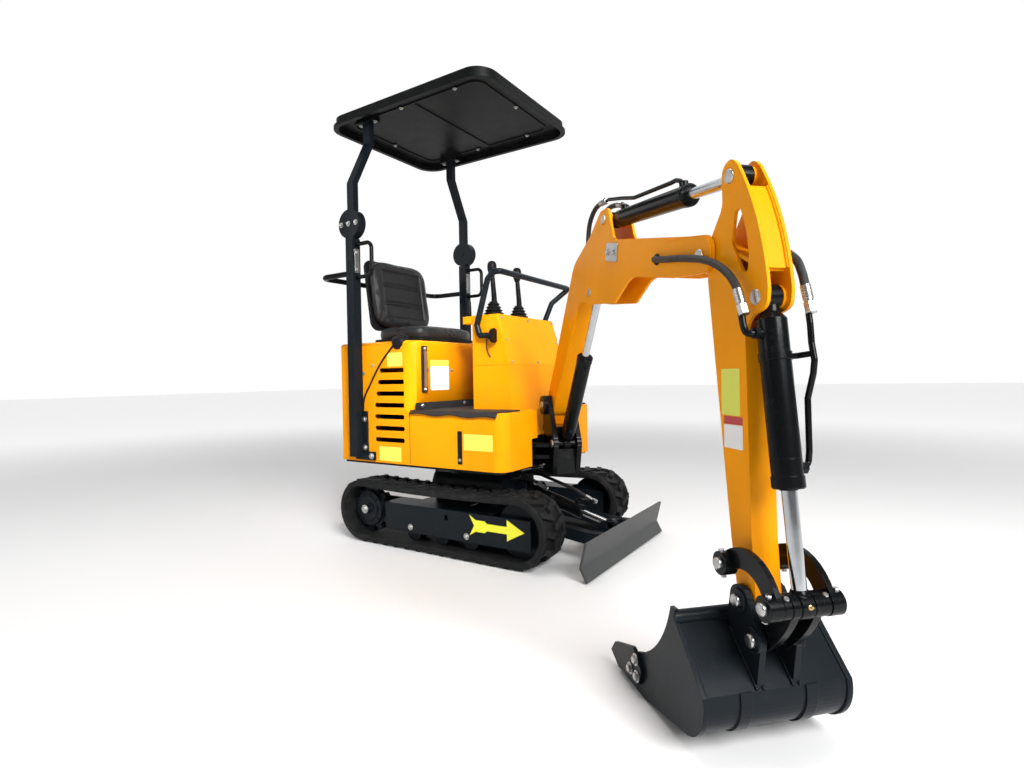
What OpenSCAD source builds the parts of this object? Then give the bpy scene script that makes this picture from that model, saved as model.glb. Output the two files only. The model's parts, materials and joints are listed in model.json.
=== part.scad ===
// Mini excavator: rubber tracks, dozer blade, slewing house with folding canopy, and a side-swinging digging arm.
// Units are millimetres. X is forward, Y is left, Z is up, and the origin is on the slew axis at the ground.

/* [Undercarriage] */
// Length of a track over its lug tips
track_l = 1234; // [1150:2:1320]
// Height of a track over its lug tips
track_h = 315; // [300:1:330]
// Width of a track belt
track_w = 180; // [160:2:200]
// Width over both tracks
track_span = 900; // [860:2:980]
// Height of a lug
lug_h = 20; // [14:1:24]
// Width of a lug along the track
lug_w = 26; // [20:1:30]
// Number of lugs in one row of a track
lug_count = 38; // [30:1:44]
// Thickness of the belt under the lugs
belt_t = 16; // [12:1:20]
// Sag of the upper run of a track
track_sag = 10; // [0:1:14]
// Thickness of the track frame's plates
frame_plate = 8; // [6:1:12]
// Radius of the slew ring
slew_r = 190; // [160:2:220]
// Radius of the hole in a tie-down eye
tie_r = 14; // [10:0.5:16]
// Thickness of a tie-down eye
tie_t = 16; // [12:1:20]

/* [Blade] */
// Width of the dozer blade
blade_w = 880; // [820:2:960]
// Height of the dozer blade
blade_h = 154; // [130:2:190]
// Height of the blade's lower edge over the ground
blade_clear = 5; // [4:1:20]
// Distance of the blade from the slew axis
blade_x = 784; // [740:2:840]
// Thickness of the blade's plate
blade_t = 10; // [8:1:14]
// Height of the blade's bent cutting edge
blade_lip = 54; // [40:2:70]

/* [House] */
// Height of the house's lower edge
house_z = 404; // [396:2:420]
// Width of the house
house_w = 864; // [820:2:900]
// Radius of the tail about the slew axis
tail_r = 740; // [700:2:780]
// Distance of the house's front face from the slew axis
front_x = 404; // [396:1:410]
// Height of the deck plate's top
deck_z = 660; // [640:2:690]
// Height of the rear housing's top
hood_z = 1000; // [960:2:1040]
// Thickness of the house's sheet walls
wall = 5; // [4:1:8]
// Thickness of the floor mat
mat_t = 7; // [5:1:12]
// Number of louvers in a side of the rear housing
louver_count = 7; // [5:1:8]
// Height of the console's top
console_z = 1110; // [1060:2:1160]
// Width of the console
console_w = 520; // [480:2:560]

/* [Canopy] */
// Distance of the posts behind the slew axis
post_x = 470; // [450:2:490]
// Width of a post's square tube
post_w = 50; // [44:1:56]
// Height of the fold pins
fold_z = 1592; // [1540:2:1640]
// Height of the roof's lower rim
roof_z = 2140; // [2080:2:2200]
// Length of the roof
roof_l = 1032; // [960:2:1100]
// Width of the roof
roof_w = 838; // [780:2:900]
// Height of the roof's moulding
roof_h = 62; // [54:2:70]

/* [Boom] */
// Distance of the swing pin ahead of the slew axis
swing_x = 420; // [414:1:430]
// Turn of the boom to the right at rest
swing_rest = 45; // [0:1:50]
// Width of the boom's box
boom_w = 84; // [80:1:96]
// Thickness of the boom's and the stick's plates
arm_plate = 8; // [6:1:9]
// Thickness of the boom's nose plates
nose_t = 5; // [4:1:8]
// Radius of the main pins
pin_r = 15; // [12:0.5:17]

/* [Stick and bucket] */
// Width of the stick's box
stick_w = 64; // [60:1:66]
// Width of the bucket
bucket_w = 356; // [320:2:420]
// Thickness of the bucket's wrapper
bucket_plate = 7; // [5:1:10]
// Thickness of the bucket's side plates
side_plate = 9; // [7:1:12]
// Height of the side plates over the bucket's back
side_rim = 4; // [2:0.5:5]
// Thickness of the bucket's wear straps
strap_t = 4; // [3:0.5:5]

/* [Cylinders] */
// Radius of a cylinder's barrel
barrel_r = 31; // [28:1:33]
// Radius of a cylinder's rod
rod_r = 15; // [12:1:17]
// Radius of a cylinder's eye
eye_r = 27; // [24:1:29]
// Width of a cylinder's eye
eye_w = 30; // [26:1:34]

/* [Fits] */
// Radial clearance of a turning pin in its bore
pin_fit = 0.08; // [0.03:0.01:0.1]
// Gap between faces that slide past each other
face_gap = 2; // [0.5:0.5:4]

/* [Hidden] */
$fn = 64;

house_yellow = "#ffae08";
frame_grey = "#30383c";
black_paint = "#16181a";
rubber_black = "#1c1e20";
chrome = "#c8ccd0";

// Places of the undercarriage
track_y = (track_span - track_w) / 2;
axle_z = track_h / 2;
wheel_x = (track_l - track_h) / 2;
belt_r = track_h / 2 - lug_h;
wheel_r = belt_r - belt_t - 0.3;
loop_len = 4 * wheel_x + 2 * PI * belt_r;
frame_in_y = track_y - 62;
frame_out_y = track_y + 66;
frame_z = [80, 212];
frame_x = [-wheel_x + 150, wheel_x - 150];
fork_x = wheel_x + 66;
frame_hole = [72, 176];
frame_hole_w = 22;
lug_slant = 30;
lug_edge = 8;
lug_sink = 5;
roller_r = 44;
roller_z = lug_h + belt_t + 0.3 + roller_r;
ring_z = [330, house_z - 12.3];
ring_bore = 100;
tie_eye = [-255, 180];
tie_z = 168;

// Places of the blade and its cylinder
blade_hinge = [252, 150];
blade_arm_y = 150;
blade_path = [[blade_x, blade_clear + blade_h], [blade_x - 24, blade_clear + blade_lip], [blade_x + 4, blade_clear]];
blade_foot = [232, 262];
blade_eye = [706, 128];

// Places of the house
deck_t = 6;
plate_z = house_z - 12;
recess_x = 335;
recess_y = 150;
seam_x = -133;
hood_front = -100;
corner_r = 60;
hood_corner_r = 70;
console_x = [120, 330];
console_seam_z = 868;
post_y = house_w / 2 + post_w / 2;
roof_front = 323;
rail_x = -720;
nose_z = [plate_z, 520];
nose_r = 45;
swing_foot = [-110, -130];
swing_z = 467;

// Pins of the arm, as distance out from the swing pin and height
boom_foot = [60, 680];
boom_knees = [[455, 1178], [640, 1257]];
stick_pin = [1432, 1101];
boom_cyl_foot = [162, 508];
boom_cyl_eye = [622, 1130];
stick_cyl_foot = [790, 1360];
stick_cyl_eye = stick_pin + [104, 158];
bucket_cyl_foot = stick_pin + [195, -126];
bucket_pin = [1580, 318];
rocker_pin = bucket_pin + [-20, 78];
link_pin = bucket_pin + [134, 35];
bucket_link_pin = bucket_pin + [52, -66];
swing_lug = [40, -140];

// Layers across the arm, from its middle
ear_in = eye_w / 2 + face_gap;
boom_in = boom_w / 2 - arm_plate;
bracket_in = boom_w / 2 + face_gap;
bracket_out = bracket_in + 22;
bucket_ear_in = stick_w / 2 + face_gap + 2;
bucket_ear_out = bucket_ear_in + 14;
rocker_in = bucket_ear_out + face_gap + 2;
rocker_out = rocker_in + 12;
boss_l = 18;

// Lengths of the cylinders' barrels, from the foot pin to the gland's face
boom_barrel_l = 480;
stick_barrel_l = 530;
bucket_barrel_l = 400;
swing_barrel_l = 345;
neck_l = 44;
neck_h = 40;
gland_l = 26;
blade_barrel_l = 340;
hose_r = 9;

// Shared geometry

function unit(v) = v / norm(v);
function left_of(v) = [-v[1], v[0]];
function arc(c, r, a0, a1, n) = [for (i = [0:n]) c + r * [cos(a0 + (a1 - a0) * i / n), sin(a0 + (a1 - a0) * i / n)]];

// Centre of the circle through three points
function circle_center(a, b, c) =
    let (u = b - a, v = c - a)
    a + [v[1] * (u * u) - u[1] * (v * v), u[0] * (v * v) - v[0] * (u * u)] / (2 * cross(u, v));
// Arc from a through b to c, moved outwards from its centre by out
function arc_through(a, b, c, out = 0, n = 12) =
    let (o = circle_center(a, b, c), p = a - o, q = c - o, s = sign(cross(b - a, c - b)), a0 = atan2(p[1], p[0]),
         sweep = (s * (atan2(q[1], q[0]) - a0) + 720) % 360)
    arc(o, norm(p) + out, a0, a0 + s * sweep, n);
function reversed(list) = [for (i = [len(list) - 1:-1:0]) list[i]];
// Strip of the given half width along the arc through three points
function arc_band(a, b, c, half) = concat(arc_through(a, b, c, half), reversed(arc_through(a, b, c, -half)));

// Corner of an outline at an offset from a pin, with its rounding
function corner(pin, x, y, r = 0) = [pin[0] + x, pin[1] + y, r];
// Outline with each corner [x, y, r] rounded by its own radius
function rounded(corners) = [for (i = [0:len(corners) - 1])
    let (m = len(corners), c = corners[i], p = [c[0], c[1]], q = corners[(i + m - 1) % m], t = corners[(i + 1) % m],
         a = unit([q[0], q[1]] - p), b = unit([t[0], t[1]] - p), half = acos(a * b) / 2)
    each c[2] == 0 ? [p]
        : let (mid = p + unit(a + b) * c[2] / sin(half), d = p + a * c[2] / tan(half) - mid, a0 = atan2(d[1], d[0]))
          arc(mid, c[2], a0, a0 + (180 - 2 * half) * sign(cross(-a, b)), 6)];

// Point of a path moved sideways by d, mitred where the path turns
function beside(path, i, d) =
    let (before = i > 0 ? unit(path[i] - path[i - 1]) : unit(path[1] - path[0]),
         after = i < len(path) - 1 ? unit(path[i + 1] - path[i]) : before,
         along = unit(before + after))
    path[i] + left_of(along) * d / (along * after);

// Outline of a strip along a path with its own half width at each point
function band(path, half) = concat(
    [for (i = [0:len(path) - 1]) beside(path, i, half[i])],
    [for (i = [len(path) - 1:-1:0]) beside(path, i, -half[i])]);

// Point of the track's loop at a length along it, moved outwards by off
function loop_at(s, off) =
    let (t = s % loop_len, run = 2 * wheel_x, bend = PI * belt_r, r = belt_r + off)
    t < run ? [t - wheel_x, axle_z - r]
    : t < run + bend ? let (a = -90 + (t - run) / belt_r * 180 / PI) [wheel_x + r * cos(a), axle_z + r * sin(a)]
    : t < 2 * run + bend
        ? let (x = wheel_x - (t - run - bend)) [x, axle_z + r - track_sag * (1 - pow(x / wheel_x, 2))]
    : let (a = 90 + (t - 2 * run - bend) / belt_r * 180 / PI) [-wheel_x + r * cos(a), axle_z + r * sin(a)];

module from_to_y(y0, y1) {
    translate([0, y1, 0]) rotate([90, 0, 0]) linear_extrude(y1 - y0) children();
}
module both_sides() {
    children();
    mirror([0, 1, 0]) children();
}
module block(x, y, z) {
    translate([x[0], y[0], z[0]]) cube([x[1] - x[0], y[1] - y[0], z[1] - z[0]]);
}
module y_rod(at, r, y0, y1) {
    translate([at[0], y0, at[1]]) rotate([-90, 0, 0]) cylinder(r = r, h = y1 - y0);
}
module z_rod(at, r, z0, z1) {
    translate([at[0], at[1], z0]) cylinder(r = r, h = z1 - z0);
}
module rounded_plan(x, y, r) {
    translate([x[0] + r, y[0]]) square([x[1] - x[0] - 2 * r, y[1] - y[0]]);
    translate([x[0], y[0] + r]) square([x[1] - x[0], y[1] - y[0] - 2 * r]);
    for (cx = [x[0] + r, x[1] - r], cy = [y[0] + r, y[1] - r]) translate([cx, cy]) circle(r);
}
// Round bar through the given points, with true bends at its turns
module bar_along(points, r, bend) {
    n = len(points);
    dirs = [for (i = [0:n - 2]) unit(points[i + 1] - points[i])];
    turns = [for (i = [0:n - 1]) i == 0 || i == n - 1 ? 0 : acos(dirs[i - 1] * dirs[i])];
    trims = [for (t = turns) bend * tan(t / 2)];
    for (i = [0:n - 2]) {
        d = dirs[i];
        translate(points[i] + d * trims[i]) rotate([0, acos(d[2]), atan2(d[1], d[0])])
            cylinder(r = r, h = norm(points[i + 1] - points[i]) - trims[i] - trims[i + 1]);
    }
    for (i = [1:n - 2]) {
        d = dirs[i - 1];
        side = unit(dirs[i] - d * (dirs[i] * d));
        up = cross(-side, d);
        c = points[i] - d * trims[i] + side * bend;
        multmatrix([[-side[0], d[0], up[0], c[0]], [-side[1], d[1], up[1], c[1]], [-side[2], d[2], up[2], c[2]], [0, 0, 0, 1]])
            rotate_extrude(angle = turns[i]) translate([bend, 0]) circle(r);
    }
}
// Path through the given points with round turns, as many points to a turn as steps
function rounded_path(points, bend, steps) = [for (i = [0:len(points) - 1])
    if (i == 0 || i == len(points) - 1) points[i]
    else let (d0 = unit(points[i] - points[i - 1]), d1 = unit(points[i + 1] - points[i]), t = acos(d0 * d1),
              side = unit(d1 - d0 * (d0 * d1)), c = points[i] - d0 * bend * tan(t / 2) + side * bend)
        each [for (k = [0:steps]) c - side * bend * cos(t * k / steps) + d0 * bend * sin(t * k / steps)]];
// Tube swept along smooth points as one closed skin
module swept_tube(points, r, sides, reference) {
    n = len(points);
    function tangent(i) = unit(points[min(i + 1, n - 1)] - points[max(i - 1, 0)]);
    function ring(i) =
        let (t = tangent(i), a = unit(cross(t, reference)), b = cross(t, a))
        [for (k = [0:sides - 1]) points[i] + r * (a * cos(360 * k / sides) + b * sin(360 * k / sides))];
    polyhedron(
        points = [for (i = [0:n - 1]) each ring(i)],
        faces = concat(
            [[for (k = [0:sides - 1]) k]],
            [for (i = [0:n - 2]) for (k = [0:sides - 1])
                [i * sides + k, (i + 1) * sides + k, (i + 1) * sides + (k + 1) % sides, i * sides + (k + 1) % sides]],
            [[for (k = [sides - 1:-1:0]) (n - 1) * sides + k]]));
}
// The arm's own frame: X outwards along the boom, Z up, from the swing pin
module arm_frame() {
    translate([swing_x, 0, 0]) rotate([0, 0, -swing_rest]) children();
}
// A cylinder's own frame: X from its foot pin towards its rod's eye, in the plane of the two pins
module along(foot, eye) {
    d = eye - foot;
    translate([foot[0], 0, foot[1]]) rotate([0, -atan2(d[1], d[0]), 0]) children();
}
module barrel_solid(length, r = barrel_r) {
    difference() {
        union() {
            y_rod([0, 0], eye_r, -eye_w / 2, eye_w / 2);
            translate([0, -eye_w / 2, -neck_h / 2]) cube([neck_l, eye_w, neck_h]);
            translate([neck_l, 0, 0]) rotate([0, 90, 0]) cylinder(r = r, h = length - neck_l);
            translate([length - gland_l, 0, 0]) rotate([0, 90, 0]) cylinder(r = r + 2, h = gland_l);
        }
        y_rod([0, 0], pin_r + pin_fit, -eye_w, eye_w);
        translate([neck_l + 10, 0, 0]) rotate([0, 90, 0]) cylinder(r = r - 7, h = length - gland_l - neck_l - 10);
        translate([neck_l + 10, 0, 0]) rotate([0, 90, 0]) cylinder(r = rod_r + pin_fit, h = length);
    }
}
module rod_solid(length, inner) {
    difference() {
        union() {
            translate([inner, 0, 0]) rotate([0, 90, 0]) cylinder(r = rod_r, h = length - inner);
            y_rod([length, 0], eye_r, -eye_w / 2, eye_w / 2);
        }
        y_rod([length, 0], pin_r + pin_fit, -eye_w, eye_w);
    }
}

// Undercarriage

module center_frame() {
    color(frame_grey) {
        block([-220, blade_foot[0] - eye_r - 5], [-150, 150], [186, ring_z[0]]);
        for (x = [-200, 110]) block([x, x + 90], [-frame_in_y, frame_in_y], [130, 206]);
        both_sides() block([190, blade_hinge[0] + 30], [blade_arm_y + 22 + face_gap, blade_arm_y + 40], [110, 206]);
        both_sides() y_rod(blade_hinge, pin_r, blade_arm_y - 24, blade_arm_y + 40);
        both_sides() block([blade_foot[0] - eye_r - 15, blade_foot[0] + 28], [ear_in, ear_in + 14], [blade_foot[1] - 28, blade_foot[1] + 28]);
        y_rod(blade_foot, pin_r, -ear_in - 14, ear_in + 14);
        both_sides() translate([0, 0, tie_z - tie_t / 2]) linear_extrude(tie_t) difference() {
            union() {
                plan_square([tie_eye[0], -195], [tie_eye[1] - 2.4 * tie_r, tie_eye[1] + 2.4 * tie_r]);
                translate(tie_eye) circle(2.4 * tie_r);
            }
            translate(tie_eye) circle(tie_r);
        }
    }
}
module slew_ring() {
    color(frame_grey) difference() {
        z_rod([0, 0], slew_r, ring_z[0], ring_z[1]);
        z_rod([0, 0], ring_bore + pin_fit, ring_z[0] - 1, ring_z[1] + 1);
    }
}
module track_frame() {
    color(frame_grey) {
        block(frame_x, [frame_in_y, frame_out_y], [frame_z[1] - frame_plate, frame_z[1]]);
        difference() {
            block([frame_x[0], fork_x], [frame_out_y - frame_plate, frame_out_y], frame_z);
            translate([frame_hole[0], frame_out_y, frame_hole[1]]) cube([frame_hole_w, 4 * frame_plate, frame_hole_w], center = true);
        }
        block([-wheel_x - 40, fork_x], [frame_in_y, frame_in_y + frame_plate], frame_z);
    }
}
// Belt's outline at a distance off its outer face: round over the wheels, sagging between them
module belt_outline(off) {
    r = belt_r + off;
    for (x = [-wheel_x, wheel_x]) translate([x, axle_z]) circle(r);
    polygon(concat([[-wheel_x, axle_z - r], [wheel_x, axle_z - r]],
        [for (i = [0:16]) let (x = wheel_x * (1 - i / 8)) [x, axle_z + r - track_sag * (1 - pow(x / wheel_x, 2))]]));
}
// One slanted lug on the belt, at a length along it
module lug(s, side) {
    p = loop_at(s, 0);
    n = loop_at(s, 1) - p;
    reach = (lug_w + lug_slant) / 2;
    top = abs(n[0]) < 0.001 ? lug_h : sqrt(pow(belt_r + lug_h, 2) - pow(reach, 2)) - belt_r;
    out = side * (track_w / 2 - lug_edge);
    translate([p[0], track_y, p[1]]) rotate([0, atan2(n[0], n[1]), 0]) translate([0, 0, -lug_sink])
        linear_extrude(top + lug_sink)
            polygon([[-reach, out], [lug_w - reach, out], [reach, 0], [reach - lug_w, 0]]);
}
module track() {
    pitch = loop_len / lug_count;
    color(rubber_black) {
        from_to_y(track_y - track_w / 2, track_y + track_w / 2) difference() {
            belt_outline(0);
            belt_outline(-belt_t);
        }
        for (i = [0:lug_count - 1]) {
            lug(i * pitch, 1);
            lug((i + 0.5) * pitch, -1);
        }
    }
}
module sprocket() {
    teeth = 11;
    step = 360 / teeth;
    root_r = wheel_r - 20;
    color(frame_grey) {
        from_to_y(track_y - 18, track_y + 18) translate([-wheel_x, axle_z]) polygon([for (i = [0:teeth - 1]) let (a = step * i)
            each [wheel_r * [cos(a), sin(a)], wheel_r * [cos(a + step * 0.3), sin(a + step * 0.3)],
                  root_r * [cos(a + step * 0.45), sin(a + step * 0.45)], root_r * [cos(a + step * 0.85), sin(a + step * 0.85)]]]);
        y_rod([-wheel_x, axle_z], 58, frame_in_y + frame_plate, track_y + 18);
        y_rod([-wheel_x, axle_z], 88, track_y + 18, track_y + 36);
        y_rod([-wheel_x, axle_z], 62, track_y + 36, track_y + 42);
        y_rod([-wheel_x, axle_z], 27, track_y + 42, frame_out_y - 4);
    }
}
module idler() {
    color(frame_grey) {
        y_rod([wheel_x, axle_z], wheel_r, track_y - 30, track_y - 12);
        y_rod([wheel_x, axle_z], wheel_r - 14, track_y - 12, track_y + 12);
        y_rod([wheel_x, axle_z], wheel_r, track_y + 12, track_y + 30);
        y_rod([wheel_x, axle_z], 22, frame_in_y + frame_plate, frame_out_y - frame_plate);
    }
}
module rollers() {
    color(frame_grey) for (share = [-0.32, 0.05, 0.42]) {
        at = [share * wheel_x, roller_z];
        y_rod(at, roller_r, track_y - 40, track_y - 14);
        y_rod(at, 30, track_y - 14, track_y + 14);
        y_rod(at, roller_r, track_y + 14, track_y + 40);
        y_rod(at + [0, 22], 11, frame_in_y + frame_plate, frame_out_y - frame_plate);
    }
}
module right_side() {
    mirror([0, 1, 0]) children();
}

// Blade

module blade_arms() {
    color(frame_grey) {
        both_sides() difference() {
            union() {
                y_rod(blade_hinge, 32, blade_arm_y - 22, blade_arm_y + 22);
                from_to_y(blade_arm_y - 22, blade_arm_y + 22)
                    polygon(band([blade_hinge, [blade_x - 120, 98], [blade_x + 10, 98]], [26, 26, 28]));
            }
            y_rod(blade_hinge, pin_r + pin_fit, 0, 2 * blade_arm_y);
            from_to_y(0, 2 * blade_arm_y) polygon(concat([for (i = [0:2]) beside(blade_path, i, -blade_t / 2 - 0.3)],
                [[blade_x + 200, 0], [blade_x + 200, 2 * blade_h]]));
        }
        block([blade_x - 150, blade_x - 110], [-blade_arm_y + 22, blade_arm_y - 22], [66, 104]);
        both_sides() from_to_y(ear_in, ear_in + 14) difference() {
            polygon([[blade_x - 150, 82], [blade_x - 110, 82], [blade_eye[0] + 22, 118], [blade_eye[0] + 24, 150],
                     [blade_eye[0] - 24, 150], [blade_x - 150, 118]]);
            translate(blade_eye) circle(pin_r + pin_fit);
        }
    }
}
module blade_plate() {
    half = blade_t / 2;
    color(frame_grey) from_to_y(-blade_w / 2, blade_w / 2) polygon(band(blade_path, [half, half, half]));
}
module blade_barrel() {
    color(black_paint) along(blade_foot, blade_eye) barrel_solid(blade_barrel_l, barrel_r);
}
module blade_rod() {
    color(chrome) along(blade_foot, blade_eye) rod_solid(norm(blade_eye - blade_foot), 150);
}

// House

module plan_square(x, y) {
    translate([x[0], y[0]]) square([x[1] - x[0], y[1] - y[0]]);
}
module turntable_plate() {
    half = house_w / 2 - 14;
    color(black_paint) difference() {
        union() {
            translate([0, 0, plate_z]) linear_extrude(12) {
                intersection() {
                    circle(tail_r - 14);
                    plan_square([-tail_r, front_x - 30], [-half, half]);
                }
                plan_square([front_x - 40, swing_x], [-nose_r, nose_r]);
            }
            block([recess_x - 60, swing_x], [-nose_r, nose_r], nose_z);
            z_rod([swing_x, 0], nose_r, nose_z[0], nose_z[1]);
            z_rod([0, 0], ring_bore, ring_z[1] - 40, house_z);
            for (z = [swing_z - 36, swing_z + 18]) block([swing_foot[0] - 40, swing_foot[0] + 26],
                [swing_foot[1] - 26, swing_foot[1] + 26], [z, z + 18]);
            block([swing_foot[0] - 60, swing_foot[0] - 34], [swing_foot[1] - 26, swing_foot[1] + 26], [house_z - 1, swing_z + 36]);
            z_rod(swing_foot, pin_r, swing_z - 30, swing_z + 30);
        }
        z_rod([swing_x, 0], 20 + pin_fit, nose_z[0] - 1, nose_z[1] + 1);
    }
}
module lower_plan(inset) {
    half = house_w / 2 - inset;
    difference() {
        rounded_plan([seam_x - corner_r * 2, front_x - inset], [-half, half], corner_r - inset);
        plan_square([seam_x - corner_r * 3, seam_x - (inset > 0 ? 1 : 0)], [-house_w, house_w]);
        plan_square([recess_x - inset, front_x + 1], [-recess_y - inset, recess_y + inset]);
    }
}
module lower_body() {
    color(house_yellow) difference() {
        translate([0, 0, house_z]) linear_extrude(deck_z - house_z) lower_plan(0);
        translate([0, 0, house_z - 1]) linear_extrude(deck_z - deck_t - house_z + 1) lower_plan(wall);
        block([recess_x - 30, front_x + 1], [-200, -recess_y + 40], [house_z - 1, 530]);
        block([recess_x - 40, recess_x + 1], [-recess_y + wall, nose_r + 6], [house_z - 1, 530]);
    }
}
module hood_plan(x1, r, inset) {
    half = house_w / 2 - inset;
    intersection() {
        circle(tail_r - inset);
        rounded_plan([-tail_r - 100, x1 - inset], [-half, half], r);
    }
}
module rear_housing() {
    pitch = (858 - 518) / (louver_count - 1);
    color(house_yellow) difference() {
        union() {
            translate([0, 0, house_z]) linear_extrude(deck_z - house_z + mat_t + 0.3) intersection() {
                hood_plan(seam_x + 100, 60, 0);
                plan_square([-tail_r, seam_x - 0.3], [-house_w, house_w]);
            }
            translate([0, 0, deck_z + mat_t + 0.3]) linear_extrude(hood_z - deck_z - mat_t - 0.3) hood_plan(hood_front, hood_corner_r, 0);
        }
        translate([0, 0, house_z - 1]) linear_extrude(deck_z - house_z + mat_t) intersection() {
            hood_plan(seam_x + 100, 60, wall);
            plan_square([-tail_r, seam_x + 1], [-house_w, house_w]);
        }
        translate([0, 0, deck_z - 2]) linear_extrude(hood_z - deck_z + 2 - wall) intersection() {
            hood_plan(hood_front, hood_corner_r - wall, wall);
            plan_square([-tail_r, seam_x - wall], [-house_w, house_w]);
        }
        for (i = [0:louver_count - 1]) both_sides() {
            z = 518 + i * pitch;
            l = 150 + 12 * (i < 3 ? 4 : 7 - i);
            block([-166 - l, -166], [house_w / 2 - 12, house_w / 2 + 5], [z - 11, z + 11]);
        }
    }
}
module engine_block() {
    color(black_paint) block([-tail_r + 180, hood_front - 120], [-200, 200], [house_z + 0.3, hood_z - 180]);
}
module floor_mat() {
    back = seam_x + 6;
    side = console_w / 2 + 6;
    edge = house_w / 2 - 14;
    nose = front_x - 20;
    color(rubber_black) translate([0, 0, deck_z]) linear_extrude(mat_t)
        polygon([[back, -edge], [nose - 40, -edge], [nose, -edge + 40], [nose, -side], [console_x[0] - 4, -side],
                 [console_x[0] - 4, side], [nose, side], [nose, edge - 40], [nose - 40, edge], [back, edge]]);
}
module console() {
    outline = [[console_x[0], deck_z], [console_x[1], deck_z], [console_x[1], console_seam_z],
               [console_x[1] - 66, console_z], [console_x[0], console_z]];
    inner = [[console_x[0] + wall, deck_z - 1], [console_x[1] - wall, deck_z - 1], [console_x[1] - wall, console_seam_z - 2],
             [console_x[1] - 66 - wall, console_z - wall], [console_x[0] + wall, console_z - wall]];
    color(house_yellow) difference() {
        from_to_y(-console_w / 2, console_w / 2) polygon(outline);
        from_to_y(-console_w / 2 + wall, console_w / 2 - wall) polygon(inner);
    }
}
module seat_base() {
    color(black_paint) block([-560, -270], [-200, 200], [hood_z, hood_z + 14]);
}
module seat_cushion() {
    color(rubber_black) translate([0, 0, hood_z + 14.3]) linear_extrude(76) rounded_plan([-575, -235], [-240, 240], 40);
}
module seat_back() {
    color(rubber_black) translate([-590, 0, hood_z + 88.5]) rotate([0, -8, 0])
        rotate([0, -90, 0]) translate([0, 0, -60]) linear_extrude(60) rounded_plan([0, 390], [-240, 240], 50);
}

// Posts, rails and canopy

module posts_lower() {
    px = [-post_x - post_w / 2, -post_x + post_w / 2];
    foot = [house_w / 2, house_w / 2 + 10];
    color(frame_grey) both_sides() {
        block(px, [house_w / 2, house_w / 2 + post_w], [house_z + 26, fold_z - 72]);
        block([px[1] - 1, px[1] + 34], foot, [house_z + 30, house_z + 252]);
        block([px[0], px[1] + 84], foot, [house_z + 9, house_z + 51]);
        y_rod([-post_x, fold_z], 72, post_y + 13, post_y + 25);
        block(px, [post_y + 13, post_y + 25], [fold_z - 72, fold_z]);
        y_rod([-post_x, fold_z], pin_r, post_y - 25, post_y + 25);
    }
}
module posts_upper() {
    y0 = post_y - 22;
    y1 = post_y + 12;
    in = 115;
    half = 22;
    color(frame_grey) both_sides() difference() {
        union() {
            y_rod([-post_x, fold_z], 72, y0, y1);
            translate([-post_x + half, 0, 0]) rotate([0, -90, 0]) linear_extrude(2 * half)
                polygon([[fold_z, y0], [1800, y0], [2030, y0 - in], [roof_z, y0 - in],
                         [roof_z, y1 - in], [2030, y1 - in], [1800, y1], [fold_z, y1]]);
        }
        y_rod([-post_x, fold_z], pin_r + pin_fit, 0, 2 * post_y);
    }
}
module canopy_roof() {
    x = [roof_front - roof_l, roof_front];
    y = [-roof_w / 2, roof_w / 2];
    ceiling = roof_z + 32;
    color(black_paint) {
        difference() {
            union() {
                roof_layer(x, y, 0, roof_z, roof_z + 14);
                roof_layer(x, y, 12, roof_z + 13, roof_z + roof_h - 12);
                roof_layer(x, y, 30, roof_z + roof_h - 13, roof_z + roof_h);
            }
            roof_layer(x, y, 22, roof_z - 1, ceiling);
        }
        difference() {
            roof_layer(x, y, 92, ceiling - 5, ceiling + 1);
            roof_layer(x, y, 100, ceiling - 6, ceiling + 2);
        }
        block([roof_front - roof_l / 2 - 24, roof_front - roof_l / 2 + 24], y + [96, -96], [ceiling - 5, ceiling + 1]);
    }
    color(frame_grey) both_sides() block([-post_x - 60, -post_x + 60], [post_y - 145, post_y - 95], [roof_z, ceiling + 1]);
}
module roof_layer(x, y, inset, z0, z1) {
    translate([0, 0, z0]) linear_extrude(z1 - z0) rounded_plan(x + [inset, -inset], y + [inset, -inset], 110 - 0.6 * inset);
}
module rear_rail() {
    z = 1350;
    back = -post_x - post_w / 2;
    color(black_paint) bar_along([[back, -post_y, z], [rail_x, -post_y, z], [rail_x, post_y, z], [back, post_y, z]], 14, 60);
}
module grab_handles() {
    x = -post_x + post_w / 2;
    color(black_paint) both_sides()
        bar_along([[x, post_y, 1326], [x + 106, post_y, 1326], [x + 106, post_y, 1490], [x, post_y, 1490]], 10, 32);
}
module safety_bar() {
    y = console_w / 2 + 16;
    color(black_paint) {
        swept_tube(rounded_path([[200, -y, 1010], [200, -y, 1230], [292, -y, 1300], [292, y, 1300], [200, y, 1230], [200, y, 1010]],
                                40, 6), 14, 16, [1, 0, -1.2]);
        both_sides() block([180, 220], [console_w / 2, y - 7], [1000, 1040]);
    }
}
module control_levers() {
    color(black_paint) both_sides() {
        translate([145, 115, console_z]) cylinder(r1 = 44, r2 = 14, h = 48);
        z_rod([145, 115], 8, console_z + 40, console_z + 215);
        translate([145, 115, console_z + 236]) sphere(27);
    }
}
module filler_cap() {
    color(black_paint) z_rod([hood_front - 103, -house_w / 2 + 40], 36, hood_z, hood_z + 34);
}

// Swing bracket and its cylinder

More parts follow.
